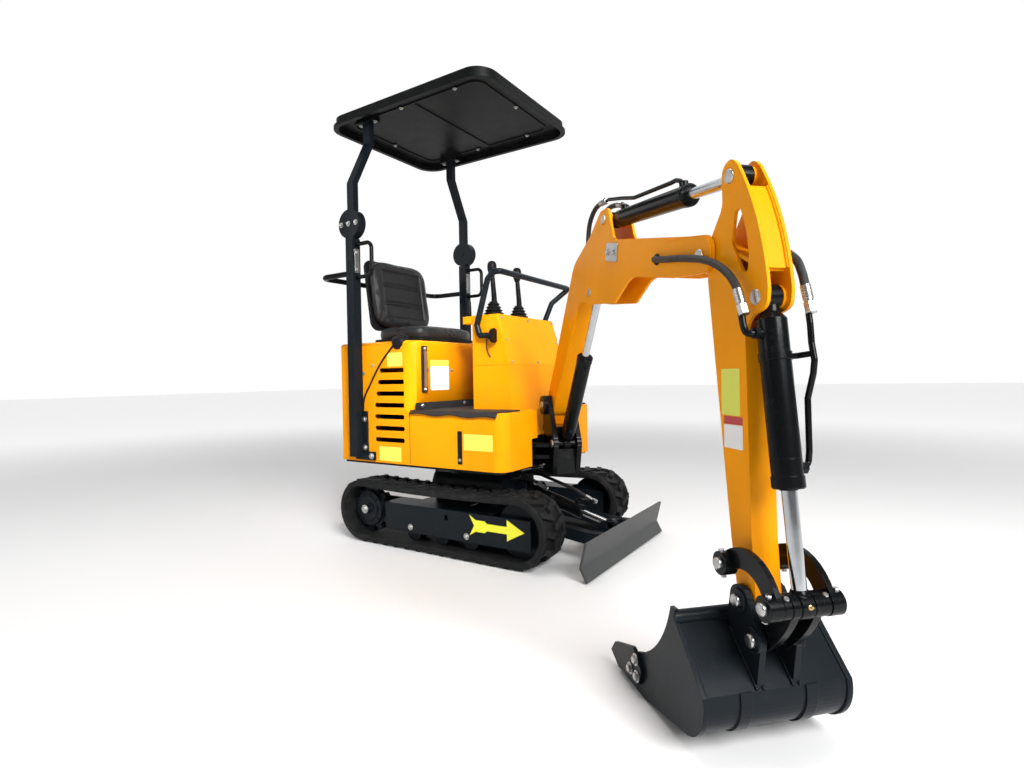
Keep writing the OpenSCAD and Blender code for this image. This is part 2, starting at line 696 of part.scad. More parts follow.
module swing_bracket() {
    lug_points = [[30, -bracket_in], [120, -bracket_in], swing_lug + [30, -20], swing_lug + [-30, -20]];
    color(black_paint) arm_frame() difference() {
        union() {
            z_rod([0, 0], 20, plate_z - 26, nose_z[1] + 34);
            z_rod([0, 0], 58, plate_z - 26, plate_z - face_gap);
            z_rod([0, 0], 58, nose_z[1] + face_gap, nose_z[1] + 34);
            block([0, 160], [-bracket_out, bracket_out], [plate_z - 26, plate_z - face_gap]);
            block([0, 160], [-bracket_out, bracket_out], [nose_z[1] + face_gap + 36, nose_z[1] + 60]);
            z_rod([0, 0], 58, nose_z[1] + 30, nose_z[1] + 60);
            block([146, 160], [-bracket_out, bracket_out], [plate_z - 26, nose_z[1] - 40]);
            for (s = [0, 1]) mirror([0, s, 0]) {
                from_to_y(bracket_in, bracket_out) polygon([[62, plate_z - 26], [160, plate_z - 26], boom_cyl_foot + [34, -10],
                    boom_cyl_foot + [24, 28], boom_foot + [52, 0], boom_foot + [34, 44], boom_foot + [-34, 44],
                    boom_foot + [-48, 0], [10, nose_z[1] + 36], [62, nose_z[1] + 20]]);
                y_rod(boom_foot, 44, bracket_in, bracket_out + 18);
                y_rod(boom_cyl_foot, 34, bracket_in, bracket_out);
            }
            y_rod(boom_foot, pin_r, -bracket_out, bracket_out);
            y_rod(boom_cyl_foot, pin_r, -bracket_out, bracket_out);
            for (z = [swing_z - 36, swing_z + 18]) translate([0, 0, z]) linear_extrude(18) {
                polygon(lug_points);
                translate(swing_lug) circle(34);
            }
        }
        z_rod(swing_lug, pin_r + pin_fit, swing_z - 40, swing_z + 40);
        block([boom_cyl_foot[0] - barrel_r - 12, 161], [-barrel_r - 7, barrel_r + 7], [nose_z[1] + 4, nose_z[1] + 61]);
    }
}
function arm_place(p) = [swing_x + p[0] * cos(swing_rest) + p[1] * sin(swing_rest), -p[0] * sin(swing_rest) + p[1] * cos(swing_rest)];
module along_swing() {
    d = arm_place(swing_lug) - swing_foot;
    translate([swing_foot[0], swing_foot[1], swing_z]) rotate([0, 0, atan2(d[1], d[0])]) rotate([90, 0, 0]) children();
}
module swing_barrel() {
    color(black_paint) along_swing() barrel_solid(swing_barrel_l, barrel_r - 2);
}
module swing_rod() {
    color(chrome) along_swing() rod_solid(norm(arm_place(swing_lug) - swing_foot), 85);
}

// Boom and its cylinder

boom_path = concat([boom_foot], boom_knees, [stick_pin]);
boom_half = [52, 72, 66, 46];
boom_drift = 56;
// Side plate: up the back of the leg, over the stick cylinder's foot, round the nose and under the boom cylinder's eye
boom_side = rounded([
    corner(boom_foot, -41, 32), corner(boom_knees[0], -10, 88, 140), corner(stick_cyl_foot, -150, -26, 80),
    corner(stick_cyl_foot, -34, 38, 30), corner(stick_cyl_foot, 38, 34, 30), corner(stick_cyl_foot, 84, -88, 50),
    corner(stick_pin, -60, 62, 80), corner(stick_pin, 48, 42, 38), corner(stick_pin, 44, -46, 36),
    corner(stick_pin, -150, -28, 60), corner(boom_cyl_eye, 382, -6, 120), corner(boom_cyl_eye, 250, -72, 16),
    corner(boom_cyl_eye, 30, -48, 30), corner(boom_cyl_eye, -50, -34, 40), corner(boom_knees[0], 50, -64, 60),
    corner(boom_foot, 41, -32)]);
boom_nose = rounded([
    corner(stick_pin, -170, 70, 6), corner(stick_pin, -60, 58, 80), corner(stick_pin, 46, 39, 36), corner(stick_pin, 42, -44, 34),
    corner(stick_pin, -130, -28, 60), corner(stick_pin, -190, -16, 6)]);
module boom() {
    nose_x = stick_pin[0] - 92;
    color(house_yellow) arm_frame() difference() {
        union() {
            from_to_y(-boom_in - 1, boom_in + 1) difference() {
                intersection() {
                    polygon(band(boom_path, boom_half));
                    polygon(boom_side);
                }
                polygon(band(boom_path, boom_half - [1, 1, 1, 1] * arm_plate));
                translate(boom_cyl_eye) circle(eye_r + boom_drift);
            }
            y_rod(boom_foot, 52, -boom_w / 2, boom_w / 2);
            for (s = [0, 1]) mirror([0, s, 0]) {
                from_to_y(boom_in, boom_w / 2) polygon(boom_side);
                from_to_y(boom_w / 2 - 1, boom_w / 2 + nose_t) polygon(boom_nose);
                y_rod(stick_cyl_foot, 24, ear_in, boom_in + 1);
                y_rod(boom_cyl_eye, 34, boom_in - 8, boom_in + 1);
                y_rod(boom_cyl_eye, pin_r, ear_in, boom_in);
            }
        }
        block([nose_x, stick_pin[0] + 100], [-boom_in, boom_in], [stick_pin[1] - 150, stick_pin[1] + 150]);
        y_rod(boom_foot, pin_r + pin_fit, -boom_w, boom_w);
    }
    color(chrome) arm_frame() y_rod(stick_pin, pin_r, -boom_w / 2 - nose_t - 3, boom_w / 2 + nose_t + 3);
    color(chrome) arm_frame() y_rod(stick_cyl_foot, pin_r, -boom_w / 2 - 3, boom_w / 2 + 3);
}
module boom_barrel() {
    color(black_paint) arm_frame() along(boom_cyl_foot, boom_cyl_eye) barrel_solid(boom_barrel_l);
}
module boom_rod() {
    color(chrome) arm_frame() along(boom_cyl_foot, boom_cyl_eye) rod_solid(norm(boom_cyl_eye - boom_cyl_foot), 230);
}

// Stick and its cylinder

// Lower end of the stick, round its bucket pin
stick_foot = [for (p = [[23, 138], [34, 20], [-34, 20], [-52, 117]]) bucket_pin + p];
// Front edge of the stick's head, as an arc through three points
stick_front = [for (p = [[135, 176], [205, 30], [236, -112]]) stick_pin + p];
stick_outline = rounded(concat(
    [corner(stick_pin, 30, 42, 30), corner(stick_pin, 76, 96, 50), corner(stick_pin, 74, 184, 28), corner(stick_pin, 112, 198, 26)],
    [for (p = arc_through(stick_front[0], stick_front[1], stick_front[2])) corner(p, 0, 0)],
    [corner(stick_pin, 232, -150, 26), corner(stick_pin, 176, -166, 40), corner(stick_pin, 157, -204)],
    [for (p = stick_foot) corner(p, 0, 0)],
    [corner(stick_pin, 10, -61)]));
stick_box = concat([stick_pin + [10, -61], stick_pin + [157, -204]], stick_foot);
stick_cavity = concat(
    [for (p = [[24, -61], [147, -215]]) stick_pin + p],
    [for (p = [[13, 138], [-40, 117]]) bucket_pin + p]);
stick_slot = rounded([for (c = [[126, 78, 9], [146, 74, 9], [166, 20, 60], [174, -30, 60], [168, -74, 9], [146, -58, 14],
                                [110, 8, 24]]) corner(stick_pin, c[0], c[1], c[2])]);
// Plate between the fins, a little behind their front edge
cover_inset = 6;
cover_center = circle_center(stick_front[0], stick_front[1], stick_front[2]);
cover_r = norm(stick_front[0] - cover_center) - cover_inset;
function cover_angle(p) = atan2(p[1] - cover_center[1], p[0] - cover_center[0]);
cover_from = cover_angle(stick_pin + [164, 122]);
cover_to = cover_angle(stick_pin + [226, -68]);
stick_cover = concat(
    arc(cover_center, cover_r, cover_from, cover_to, 8), arc(cover_center, cover_r - arm_plate, cover_to, cover_from, 8));
module stick() {
    in = stick_w / 2 - arm_plate;
    color(house_yellow) arm_frame() difference() {
        union() {
            from_to_y(-in - 1, in + 1) {
                difference() {
                    polygon(stick_box);
                    polygon(stick_cavity);
                }
                polygon(stick_cover);
                polygon(band([stick_pin + [34, 26], stick_pin + [214, -70]], [arm_plate / 2, arm_plate / 2]));
            }
            y_rod(stick_pin, 44, -stick_w / 2, stick_w / 2);
            y_rod(bucket_pin, 38, -stick_w / 2, stick_w / 2);
            y_rod(rocker_pin, 26, -stick_w / 2, stick_w / 2);
            for (s = [0, 1]) mirror([0, s, 0]) {
                from_to_y(in, stick_w / 2) difference() {
                    polygon(stick_outline);
                    polygon(stick_slot);
                }
                y_rod(stick_cyl_eye, 24, ear_in, in + 1);
                y_rod(bucket_cyl_foot, 26, ear_in, in + 1);
            }
            y_rod(bucket_cyl_foot, pin_r, -stick_w / 2, stick_w / 2);
            y_rod(rocker_pin, pin_r - 3, -rocker_out - boss_l - 4, rocker_out + boss_l + 4);
            y_rod(bucket_pin, pin_r - 2, -bucket_ear_out - 8, bucket_ear_out + 8);
        }
        y_rod(stick_pin, pin_r + pin_fit, -stick_w, stick_w);
    }
}
module stick_barrel() {
    color(black_paint) arm_frame() along(stick_cyl_foot, stick_cyl_eye) barrel_solid(stick_barrel_l, barrel_r - 2);
}
module stick_rod() {
    color(chrome) arm_frame() along(stick_cyl_foot, stick_cyl_eye) rod_solid(norm(stick_cyl_eye - stick_cyl_foot), 262);
}

// Bucket, its linkage and cylinder

module bucket_barrel() {
    color(black_paint) arm_frame() along(bucket_cyl_foot, link_pin) barrel_solid(bucket_barrel_l);
}
module bucket_rod() {
    color(chrome) arm_frame() along(bucket_cyl_foot, link_pin) rod_solid(norm(link_pin - bucket_cyl_foot), 225);
}
module rocker_links() {
    mid = (rocker_pin + link_pin) / 2 + [22, 40];
    color(black_paint) arm_frame() for (s = [0, 1]) mirror([0, s, 0]) difference() {
        union() {
            from_to_y(rocker_in, rocker_out) polygon(arc_band(rocker_pin, mid, link_pin, 22));
            for (pin = [rocker_pin, link_pin]) y_rod(pin, 26, rocker_in, rocker_out + boss_l);
        }
        for (pin = [rocker_pin, link_pin]) y_rod(pin, pin_r - 3 + pin_fit, 0, 2 * rocker_out);
    }
}
module bucket_link() {
    cheek_out = bucket_ear_in - face_gap;
    mid = (link_pin + bucket_link_pin) / 2 + [8, -4];
    color(black_paint) arm_frame() {
        for (s = [0, 1]) mirror([0, s, 0]) {
            from_to_y(ear_in, cheek_out) {
                polygon(arc_band(link_pin, mid, bucket_link_pin, 23));
                translate(link_pin) circle(26);
                translate(bucket_link_pin) circle(24);
            }
            y_rod(link_pin, pin_r - 3, cheek_out - 1, rocker_out + boss_l + 4);
        }
        y_rod(bucket_link_pin, 16, -cheek_out, cheek_out);
    }
}
// Outline of the bucket's back, moved outwards by o: flat below the tube, bent, round at the heel, flat to the lip
bucket_tube = bucket_pin + [-58, -48];
heel = bucket_pin + [-22, -190];
heel_r = 88;
heel_bend = 15;
function bucket_back(o) = concat(
    [bucket_tube + o * [0.7, 0.7]], arc(heel, heel_r + o, heel_bend, -82, 14),
    [bucket_pin + [-213, -312 - o], bucket_pin + [-365, -310 - o]]);
function strap(o) = concat(arc(heel, heel_r + o, heel_bend, -82, 14), [bucket_pin + [-150, -305 - o]]);
// Free edge of a side plate, from the lip round the hollow of the mouth to the tube
bucket_mouth = concat(
    [bucket_pin + [-365, -262]],
    arc_through(bucket_pin + [-250, -214], bucket_pin + [-140, -146], bucket_pin + [-68, -26], 0, 10),
    [bucket_pin + [-46, -26]]);
module bucket() {
    half = bucket_w / 2;
    color(frame_grey) arm_frame() difference() {
        union() {
            from_to_y(-half + 1, half - 1) polygon(concat(bucket_back(0), reversed(bucket_back(-bucket_plate))));
            for (s = [0, 1]) mirror([0, s, 0]) {
                from_to_y(half - side_plate, half) polygon(concat(bucket_back(side_rim), bucket_mouth));
                from_to_y(64, 92) polygon(concat(strap(strap_t), reversed(strap(-1))));
                from_to_y(bucket_ear_in, bucket_ear_out) {
                    polygon([bucket_tube + [10, -14], bucket_pin + [-34, 0], bucket_pin + [20, 30], bucket_link_pin + [25, 6],
                             heel + (heel_r - 3) * [cos(heel_bend), sin(heel_bend)]]);
                    translate(bucket_pin) circle(34);
                    translate(bucket_link_pin) circle(26);
                }
                y_rod(bucket_link_pin, pin_r - 2, bucket_ear_in, bucket_ear_out + 8);
            }
            y_rod(bucket_tube, 16, -half + 1, half - 1);
        }
        y_rod(bucket_pin, pin_r - 2 + pin_fit, -half, half);
    }
}
module side_cutters() {
    half = bucket_w / 2;
    color(frame_grey) arm_frame() for (s = [0, 1]) mirror([0, s, 0]) from_to_y(half, half + 10)
        polygon(rounded([for (c = [[-410, -278, 0], [-380, -244, 4], [-258, -204, 18], [-208, -248, 16], [-232, -292, 18], [-358, -304, 0]])
            corner(bucket_pin, c[0], c[1], c[2])]));
}
module stick_hose() {
    y = boom_w / 2 + nose_t + 3 + hose_r + 0.3;
    route = [[1196, boom_w / 2 + hose_r + 0.3, 1140], [1240, y - 4, 1131], [1300, y, 1120], [1363, y, 1109], [1464, y, 1086],
             [1529, y, 1060], [1573, y, 1031], [1598, y, 1004], [1612, y, 972], [1618, y, 945]];
    color(rubber_black) arm_frame() mirror([0, 1, 0]) swept_tube(route, hose_r, 8, [0.3, 1, 0.2]);
}

center_frame();
slew_ring();
right_side() track_frame();  // track_frame_right
track_frame();  // track_frame_left
right_side() track();  // track_right
track();  // track_left
right_side() sprocket();  // sprocket_right
sprocket();  // sprocket_left
right_side() idler();  // idler_right
idler();  // idler_left
right_side() rollers();  // rollers_right
rollers();  // rollers_left
blade_arms();
blade_plate();
blade_barrel();
blade_rod();
turntable_plate();
lower_body();
rear_housing();
engine_block();
floor_mat();
console();
seat_base();
seat_cushion();
seat_back();
posts_lower();
rear_rail();
grab_handles();
safety_bar();
control_levers();
filler_cap();
posts_upper();
canopy_roof();
swing_barrel();
swing_rod();
swing_bracket();
boom();
boom_barrel();
boom_rod();
stick();
stick_barrel();
stick_rod();
bucket_barrel();
bucket_rod();
rocker_links();
bucket_link();
bucket();
side_cutters();
stick_hose();
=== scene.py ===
"""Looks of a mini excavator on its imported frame: camera, light, finishes and small pieces."""

import json

import bmesh
import bpy
import numpy as np
from mathutils import Matrix


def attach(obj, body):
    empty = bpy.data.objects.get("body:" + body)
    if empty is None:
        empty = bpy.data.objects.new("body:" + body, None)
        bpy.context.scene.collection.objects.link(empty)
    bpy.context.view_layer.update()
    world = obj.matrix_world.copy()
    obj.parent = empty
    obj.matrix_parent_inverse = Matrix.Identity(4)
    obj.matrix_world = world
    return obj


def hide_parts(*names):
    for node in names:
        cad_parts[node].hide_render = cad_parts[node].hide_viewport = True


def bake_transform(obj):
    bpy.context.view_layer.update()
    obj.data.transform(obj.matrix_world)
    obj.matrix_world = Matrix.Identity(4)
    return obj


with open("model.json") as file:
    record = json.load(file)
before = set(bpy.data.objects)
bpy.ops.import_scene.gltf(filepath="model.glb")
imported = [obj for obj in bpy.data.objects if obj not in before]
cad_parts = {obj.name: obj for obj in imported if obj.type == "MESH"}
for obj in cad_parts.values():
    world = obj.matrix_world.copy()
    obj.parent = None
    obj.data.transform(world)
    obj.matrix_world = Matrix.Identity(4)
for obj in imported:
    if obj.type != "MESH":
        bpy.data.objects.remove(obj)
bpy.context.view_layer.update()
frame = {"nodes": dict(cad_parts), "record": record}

TURN = 2 * np.pi
UP = np.array([0.0, 0.0, 1.0])
LEFT = np.array([0.0, 1.0, 0.0])
FORWARD = np.array([1.0, 0.0, 0.0])
SIDES = ((-1, "right"), (1, "left"))
NEAR_FAR = ((-1, "near"), (1, "far"))


def unit(v):
    """Vector of length one along v."""
    v = np.asarray(v, float)
    return v / np.linalg.norm(v, axis=-1, keepdims=True)


# Places shared with the solids: the house and tracks in metres, the arm's pins as (out, up) in millimetres

HOUSE_SIDE = 0.432
HOOD_FRONT = -0.100
CONSOLE_SIDE = 0.260
CONSOLE_SEAM = np.array([0.330, 0, 0.868])
CONSOLE_RISE = unit([-0.066, 0, 0.242])
CONSOLE_OUT = unit([0.242, 0, 0.066])
TRACK_MIDDLE, TRACK_HALF = 0.360, 0.0905
TRACK_FRAME_SIDE = 0.426
WHEEL_X, WHEEL_Z = 0.4595, 0.1575
BLADE_FOOT, BLADE_EYE = np.array([0.232, 0, 0.262]), np.array([0.706, 0, 0.128])
BLADE_PORTS = 0.08, 0.30
SWING_FOOT = np.array([-0.110, -0.130, 0.467])
SWING_X = 0.420
SWING_REST = np.radians(45)
OUT = np.array([np.cos(SWING_REST), -np.sin(SWING_REST), 0.0])
ACROSS = np.array([np.sin(SWING_REST), np.cos(SWING_REST), 0.0])
STICK_PIN = np.array([1432.0, 1101.0])
BUCKET_PIN = np.array([1580.0, 318.0])
BOOM_FOOT = np.array([60.0, 680.0])
BOOM_CYL = np.array([162.0, 508.0]), np.array([622.0, 1130.0])
STICK_CYL = np.array([790.0, 1360.0]), STICK_PIN + [104, 158]
ROCKER_PIN = BUCKET_PIN + [-20, 78]
LINK_PIN = BUCKET_PIN + [134, 35]
BUCKET_LINK_PIN = BUCKET_PIN + [52, -66]
BUCKET_CYL = STICK_PIN + [195, -126], LINK_PIN


def arm(points):
    """Places in metres of arm points (out, left, up): swing pin + out * OUT + left * ACROSS + up * UP."""
    p = np.asarray(points, float) / 1000
    return np.array([SWING_X, 0, 0]) + p[..., :1] * OUT + p[..., 1:2] * ACROSS + p[..., 2:3] * UP


def at(points, left=0.0):
    """Places of arm points (out, up) at an offset to the left."""
    return arm(np.insert(np.asarray(points, float), 1, left, axis=-1))


def arm_axis(angle):
    """Direction at an angle above outwards in the arm's plane."""
    return np.cos(np.radians(angle)) * OUT + np.sin(np.radians(angle)) * UP


# Shapes: each gives an array of points and a list of faces


def grid(points, wrap_rows=False, wrap_columns=False):
    """Quads between neighbours of a rows x columns array; a wrapped direction joins its last to its first."""
    n, m = points.shape[:2]
    index = np.arange(n * m).reshape(n, m)
    rows = np.arange(n if wrap_rows else n - 1)
    columns = np.arange(m if wrap_columns else m - 1)
    a = index[rows][:, columns]
    b = index[rows][:, (columns + 1) % m]
    c = index[(rows + 1) % n][:, (columns + 1) % m]
    d = index[(rows + 1) % n][:, columns]
    return points.reshape(-1, 3), np.stack([a, b, c, d], -1).reshape(-1, 4)


def axes_about(axis):
    """Two unit vectors square to an axis and to each other."""
    axis = unit(axis)
    side = unit(np.cross(axis, UP if abs(axis[2]) < 0.9 else FORWARD))
    return side, np.cross(axis, side)


def lathe(start, axis, profile, sides=48, hollow=False):
    """Profile turned about an axis, start + length * axis + radius * (cos, sin), with flat ends."""
    profile = np.asarray(profile, float)
    if not hollow:
        profile = np.vstack([profile[0] * [1, 0], profile, profile[-1] * [1, 0]])
    u, v = axes_about(axis)
    t = np.linspace(0, TURN, sides, endpoint=False)
    ring = np.cos(t)[:, None] * u + np.sin(t)[:, None] * v
    points = np.asarray(start) + profile[:, None, :1] * unit(axis) + profile[:, None, 1:2] * ring
    return grid(points, wrap_columns=True)


def smooth_path(points, steps=8):
    """Catmull-Rom curve through the points: each stretch is a cubic along its neighbours' chords."""
    p = np.asarray(points, float)
    p = np.vstack([2 * p[0] - p[1], p, 2 * p[-1] - p[-2]])
    t = np.linspace(0, 1, steps, endpoint=False)[:, None, None]
    a, b, c, d = (p[i : len(p) - 3 + i] for i in range(4))
    curve = 0.5 * (2 * b + (c - a) * t + (2 * a - 5 * b + 4 * c - d) * t**2 + (3 * b - a - 3 * c + d) * t**3)
    return np.vstack([curve.transpose(1, 0, 2).reshape(-1, 3), p[-2]])


def round_path(corners, bend, steps=8):
    """Straight runs between corners, each turn an arc of radius bend."""
    p = np.asarray(corners, float)
    d = unit(np.diff(p, axis=0))
    out = [p[:1]]
    for corner, before, after in zip(p[1:-1], d[:-1], d[1:]):
        turn = np.arccos(np.clip(before @ after, -1, 1))
        side = unit(after - before * (before @ after))
        centre = corner - before * bend * np.tan(turn / 2) + side * bend
        t = np.linspace(0, turn, steps)[:, None]
        out.append(centre + bend * (np.sin(t) * before - np.cos(t) * side))
    return np.vstack(out + [p[-1:]])


def tube(path, radius, sides=16):
    """Circle carried along a path with its frame turned least from point to point, closed by flat ends."""
    path = np.asarray(path, float)
    along = unit(np.gradient(path, axis=0))
    side = [axes_about(along[0])[0]]
    for t in along[1:]:
        side.append(unit(side[-1] - t * (side[-1] @ t)))
    side = np.array(side)
    other = np.cross(along, side)
    r = np.broadcast_to(np.asarray(radius, float), len(path))
    a = np.linspace(0, TURN, sides, endpoint=False)
    ring = np.cos(a)[None, :, None] * side[:, None] + np.sin(a)[None, :, None] * other[:, None]
    rows = path[:, None] + r[:, None, None] * ring
    ends = [np.repeat(path[i][None, None], sides, 1) for i in (0, -1)]
    return grid(np.concatenate([ends[0], rows, ends[1]]), wrap_columns=True)


def prism(outline, origin, u, v, depth):
    """Flat outline of (u, v) points at an origin, carried straight through depth along u x v."""
    outline = np.asarray(outline, float)
    n = len(outline)
    base = np.asarray(origin) + outline[:, :1] * np.asarray(u) + outline[:, 1:] * np.asarray(v)
    points = np.vstack([base, base + np.cross(u, v) * depth])
    i = np.arange(n)
    sides = np.stack([i, (i + 1) % n, (i + 1) % n + n, i + n], -1).tolist()
    return points, [i[::-1].tolist(), (i + n).tolist()] + sides


def round_rectangle(width, height, radius, steps=6):
    """Outline of a rectangle about its middle, each corner a quarter circle."""
    t = np.linspace(0, np.pi / 2, steps)
    quarter = np.stack([np.cos(t), np.sin(t)], -1) * radius
    inner = np.array([width / 2 - radius, height / 2 - radius])
    parts = []
    for k, sign in enumerate([(1, 1), (-1, 1), (-1, -1), (1, -1)]):
        c, s = np.cos(k * np.pi / 2), np.sin(k * np.pi / 2)
        parts.append(inner * sign + quarter @ np.array([[c, s], [-s, c]]))
    return np.vstack(parts)


def plate(centre, u, v, width, height, radius, thick):
    """Thin plate with round corners, its back on the surface that u and v span."""
    return prism(round_rectangle(width, height, radius), centre, u, v, thick)


def weld(path, radius=0.003):
    """Weld bead along a path: a thin tube whose radius ripples like laid drops."""
    path = np.asarray(path)
    s = np.concatenate([[0], np.cumsum(np.linalg.norm(np.diff(path, axis=0), axis=1))])
    even = np.linspace(0, s[-1], int(s[-1] / 0.0015))
    fine = np.stack([np.interp(even, s, path[:, k]) for k in range(3)], -1)
    return tube(fine, radius * (1 + 0.16 * np.sin(TURN * even / 0.0065)), 8)


def bolt(place, axis, radius=0.009, head=0.007, washer=True):
    """Hexagon head on a flat washer: a six-sided lathe with a chamfered top over a round one."""
    thick = 0.0018 if washer else 0
    hexagon = [[0.0, radius], [head * 0.8, radius], [head, radius * 0.82]]
    shapes = [lathe(np.asarray(place) + unit(axis) * thick, axis, hexagon, 6)]
    if washer:
        shapes.append(lathe(place, axis, [[0, radius * 1.45], [thick, radius * 1.45]], 24))
    return together(shapes)


def round_head(place, axis, radius, height):
    """Pin head with a domed rim: flat middle, quarter-round edge."""
    t = np.linspace(0, np.pi / 2, 5)
    rim = min(height, radius * 0.3)
    edge = np.stack([height - rim + rim * np.sin(t), radius - rim + rim * np.cos(t)], -1)
    return lathe(place, axis, np.vstack([[[0, radius]], edge]), 32)


def together(shapes):
    """Several shapes as one: points stacked, face numbers moved on."""
    points, faces, count = [], [], 0
    for p, f in shapes:
        points.append(p)
        faces.extend([[i + count for i in face] for face in (f.tolist() if isinstance(f, np.ndarray) else f)])
        count += len(p)
    return np.vstack(points), faces


def new_object(name, data):
    """Object of a mesh, lamp or camera in the scene."""
    thing = bpy.data.objects.new(name, data)
    bpy.context.scene.collection.objects.link(thing)
    return thing


def clean(mesh):
    """Merges a mesh's doubles and turns its faces outwards."""
    bm = bmesh.new()
    bm.from_mesh(mesh)
    bmesh.ops.remove_doubles(bm, verts=bm.verts, dist=1e-6)
    bmesh.ops.dissolve_degenerate(bm, edges=bm.edges, dist=1e-7)
    bmesh.ops.recalc_face_normals(bm, faces=bm.faces)
    bm.to_mesh(mesh)
    bm.free()


def clean_mesh(name, shapes):
    """Closed mesh of several shapes."""
    points, faces = together(shapes)
    mesh = bpy.data.meshes.new(name)
    mesh.from_pydata(points.tolist(), [], faces)
    clean(mesh)
    return mesh


def piece(name, shape, finish, body, bevel=0.0, sharp=40):
    """Object of one shape or several, on a body if one is named; edges above an angle stay sharp."""
    mesh = clean_mesh(name, shape if isinstance(shape, list) else [shape])
    mesh.shade_smooth()
    mesh.set_sharp_from_angle(angle=np.radians(sharp))
    mesh.materials.append(finish)
    thing = new_object(name, mesh)
    if bevel:
        rounding = thing.modifiers.new("rounding", "BEVEL")
        rounding.width = bevel
        rounding.segments = 2
        rounding.limit_method = "ANGLE"
        rounding.angle_limit = np.radians(sharp)
        rounding.harden_normals = True
    if body:
        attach(thing, body)
    return thing


# Finishes


class Value:
    """A shader socket that takes arithmetic: each operation on it adds a Math node."""

    def __init__(self, finish, socket):
        self.finish = finish
        self.socket = socket

    def maths(self, operation, *others):
        return self.finish.node("ShaderNodeMath", {"operation": operation}, dict(enumerate(others)))

    def __add__(self, other):
        return self.maths("ADD", self, other)

    __radd__ = __add__

    def __mul__(self, other):
        return self.maths("MULTIPLY", self, other)

    __rmul__ = __mul__

    def __sub__(self, other):
        return self.maths("SUBTRACT", self, other)

    def __rsub__(self, other):
        return self.maths("SUBTRACT", other, self)

    def sine(self):
        return self.maths("SINE", self)

    def step(self, low, high):
        """Smooth rise from 0 at low to 1 at high."""
        inputs = {"Value": self, "From Min": low, "From Max": high}
        return self.finish.node("ShaderNodeMapRange", {"interpolation_type": "SMOOTHSTEP"}, inputs)


class Finish:
    """Nodes of a material or the surround: node() adds any node, surface() ends in one Principled shader."""

    def __init__(self, owner):
        self.owner = owner
        owner.use_nodes = True
        self.nodes = owner.node_tree.nodes
        self.links = owner.node_tree.links
        self.nodes.clear()

    def node(self, kind, settings=None, inputs=None, output=0):
        """Adds a node, sets its settings first and then the values or links of its sockets."""
        made = self.nodes.new(kind)
        for key, value in (settings or {}).items():
            setattr(made, key, value)
        for key, value in (inputs or {}).items():
            if isinstance(value, Value):
                self.links.new(value.socket, made.inputs[key])
            else:
                made.inputs[key].default_value = value
        return Value(self, made.outputs[output]) if made.outputs else None

    def place(self):
        """Object coordinates, in metres."""
        return self.node("ShaderNodeTexCoord", output="Object")

    def place_parts(self):
        """Object coordinates as three values."""
        split = self.node("ShaderNodeSeparateXYZ", None, {0: self.place()})
        return [Value(self, part) for part in split.socket.node.outputs]

    def noise(self, scale, detail=4.0, rough=0.6, stretch=None):
        """Noise of so many waves to a metre, drawn out along an axis where stretch says so."""
        where = self.place()
        if stretch:
            where = self.node("ShaderNodeMapping", None, {"Vector": where, "Scale": stretch})
        inputs = {"Vector": where, "Scale": scale, "Detail": detail, "Roughness": rough}
        return self.node("ShaderNodeTexNoise", None, inputs, "Fac")

    def mix(self, amount, first, second):
        """Colour between two colours."""
        return self.node("ShaderNodeMix", {"data_type": "RGBA"}, {0: amount, 6: first, 7: second}, 2)

    def vector(self, operation, *vectors):
        """Single value of a vector operation."""
        return self.node("ShaderNodeVectorMath", {"operation": operation}, dict(enumerate(vectors)), "Value")

    def soft_edge(self, radius):
        """Normal rounded over edges within a radius."""
        return self.node("ShaderNodeBevel", {"samples": 6}, {"Radius": radius})

    def edges(self, radius):
        """1 where the rounded normal leaves the true one, as on worn edges, 0 on flats."""
        true = self.node("ShaderNodeNewGeometry", output="Normal")
        return (1 - self.vector("DOT_PRODUCT", self.soft_edge(radius), true)).step(0.02, 0.25)

    def surface(self, colour, rough, metal=0.0, height=None, depth=0.001, edge=0.0015, **constants):
        """Principled shader; height is a bump of so many metres over edges softened by a radius."""
        normal = {"Normal": self.soft_edge(edge)} if edge else {}
        if height is not None:
            bump = {"Height": height, "Distance": depth, "Strength": 1.0, **normal}
            normal = {"Normal": self.node("ShaderNodeBump", None, bump)}
        inputs = {"Base Color": colour, "Roughness": rough, "Metallic": metal, **normal}
        inputs.update({key.replace("_", " "): value for key, value in constants.items()})
        shader = self.node("ShaderNodeBsdfPrincipled", None, inputs)
        self.node("ShaderNodeOutputMaterial", None, {"Surface": shader})
        return self.owner


def finish_named(name):
    """Empty finish on a new material."""
    return Finish(bpy.data.materials.new(name))


def shade(colour, factor, lift=0.0):
    """Colour times a factor plus a lift, at most 1."""
    return [min(1, c * factor + lift) for c in colour[:3]] + [1]


def paint(name, base, worn, rough, coat, shine=0.2):
    """Sprayed paint: orange-peel ripple, slow drift of tone, thin wear on edges and a breath of dust."""
    f = finish_named(name)
    slow = f.noise(3.0, 3.0)
    peel = f.noise(420.0, 2.0, 0.5)
    worn_edge = f.edges(0.002) * f.noise(60.0, 5.0, 0.7).step(0.52, 0.66)
    tone = f.mix(slow.step(0.3, 0.7), shade(base, 0.93), shade(base, 1.05))
    tone = f.mix(f.noise(14.0, 6.0, 0.7).step(0.55, 0.85) * 0.05, tone, (0.35, 0.33, 0.30, 1))
    tone = f.mix(worn_edge * 0.35, tone, worn)
    roughness = rough + slow.step(0.3, 0.8) * 0.08 + worn_edge * 0.2
    return f.surface(tone, roughness, height=peel, depth=0.00008, edge=0.002,
                     Coat_Weight=coat, Coat_Roughness=0.06, Specular_IOR_Level=shine)


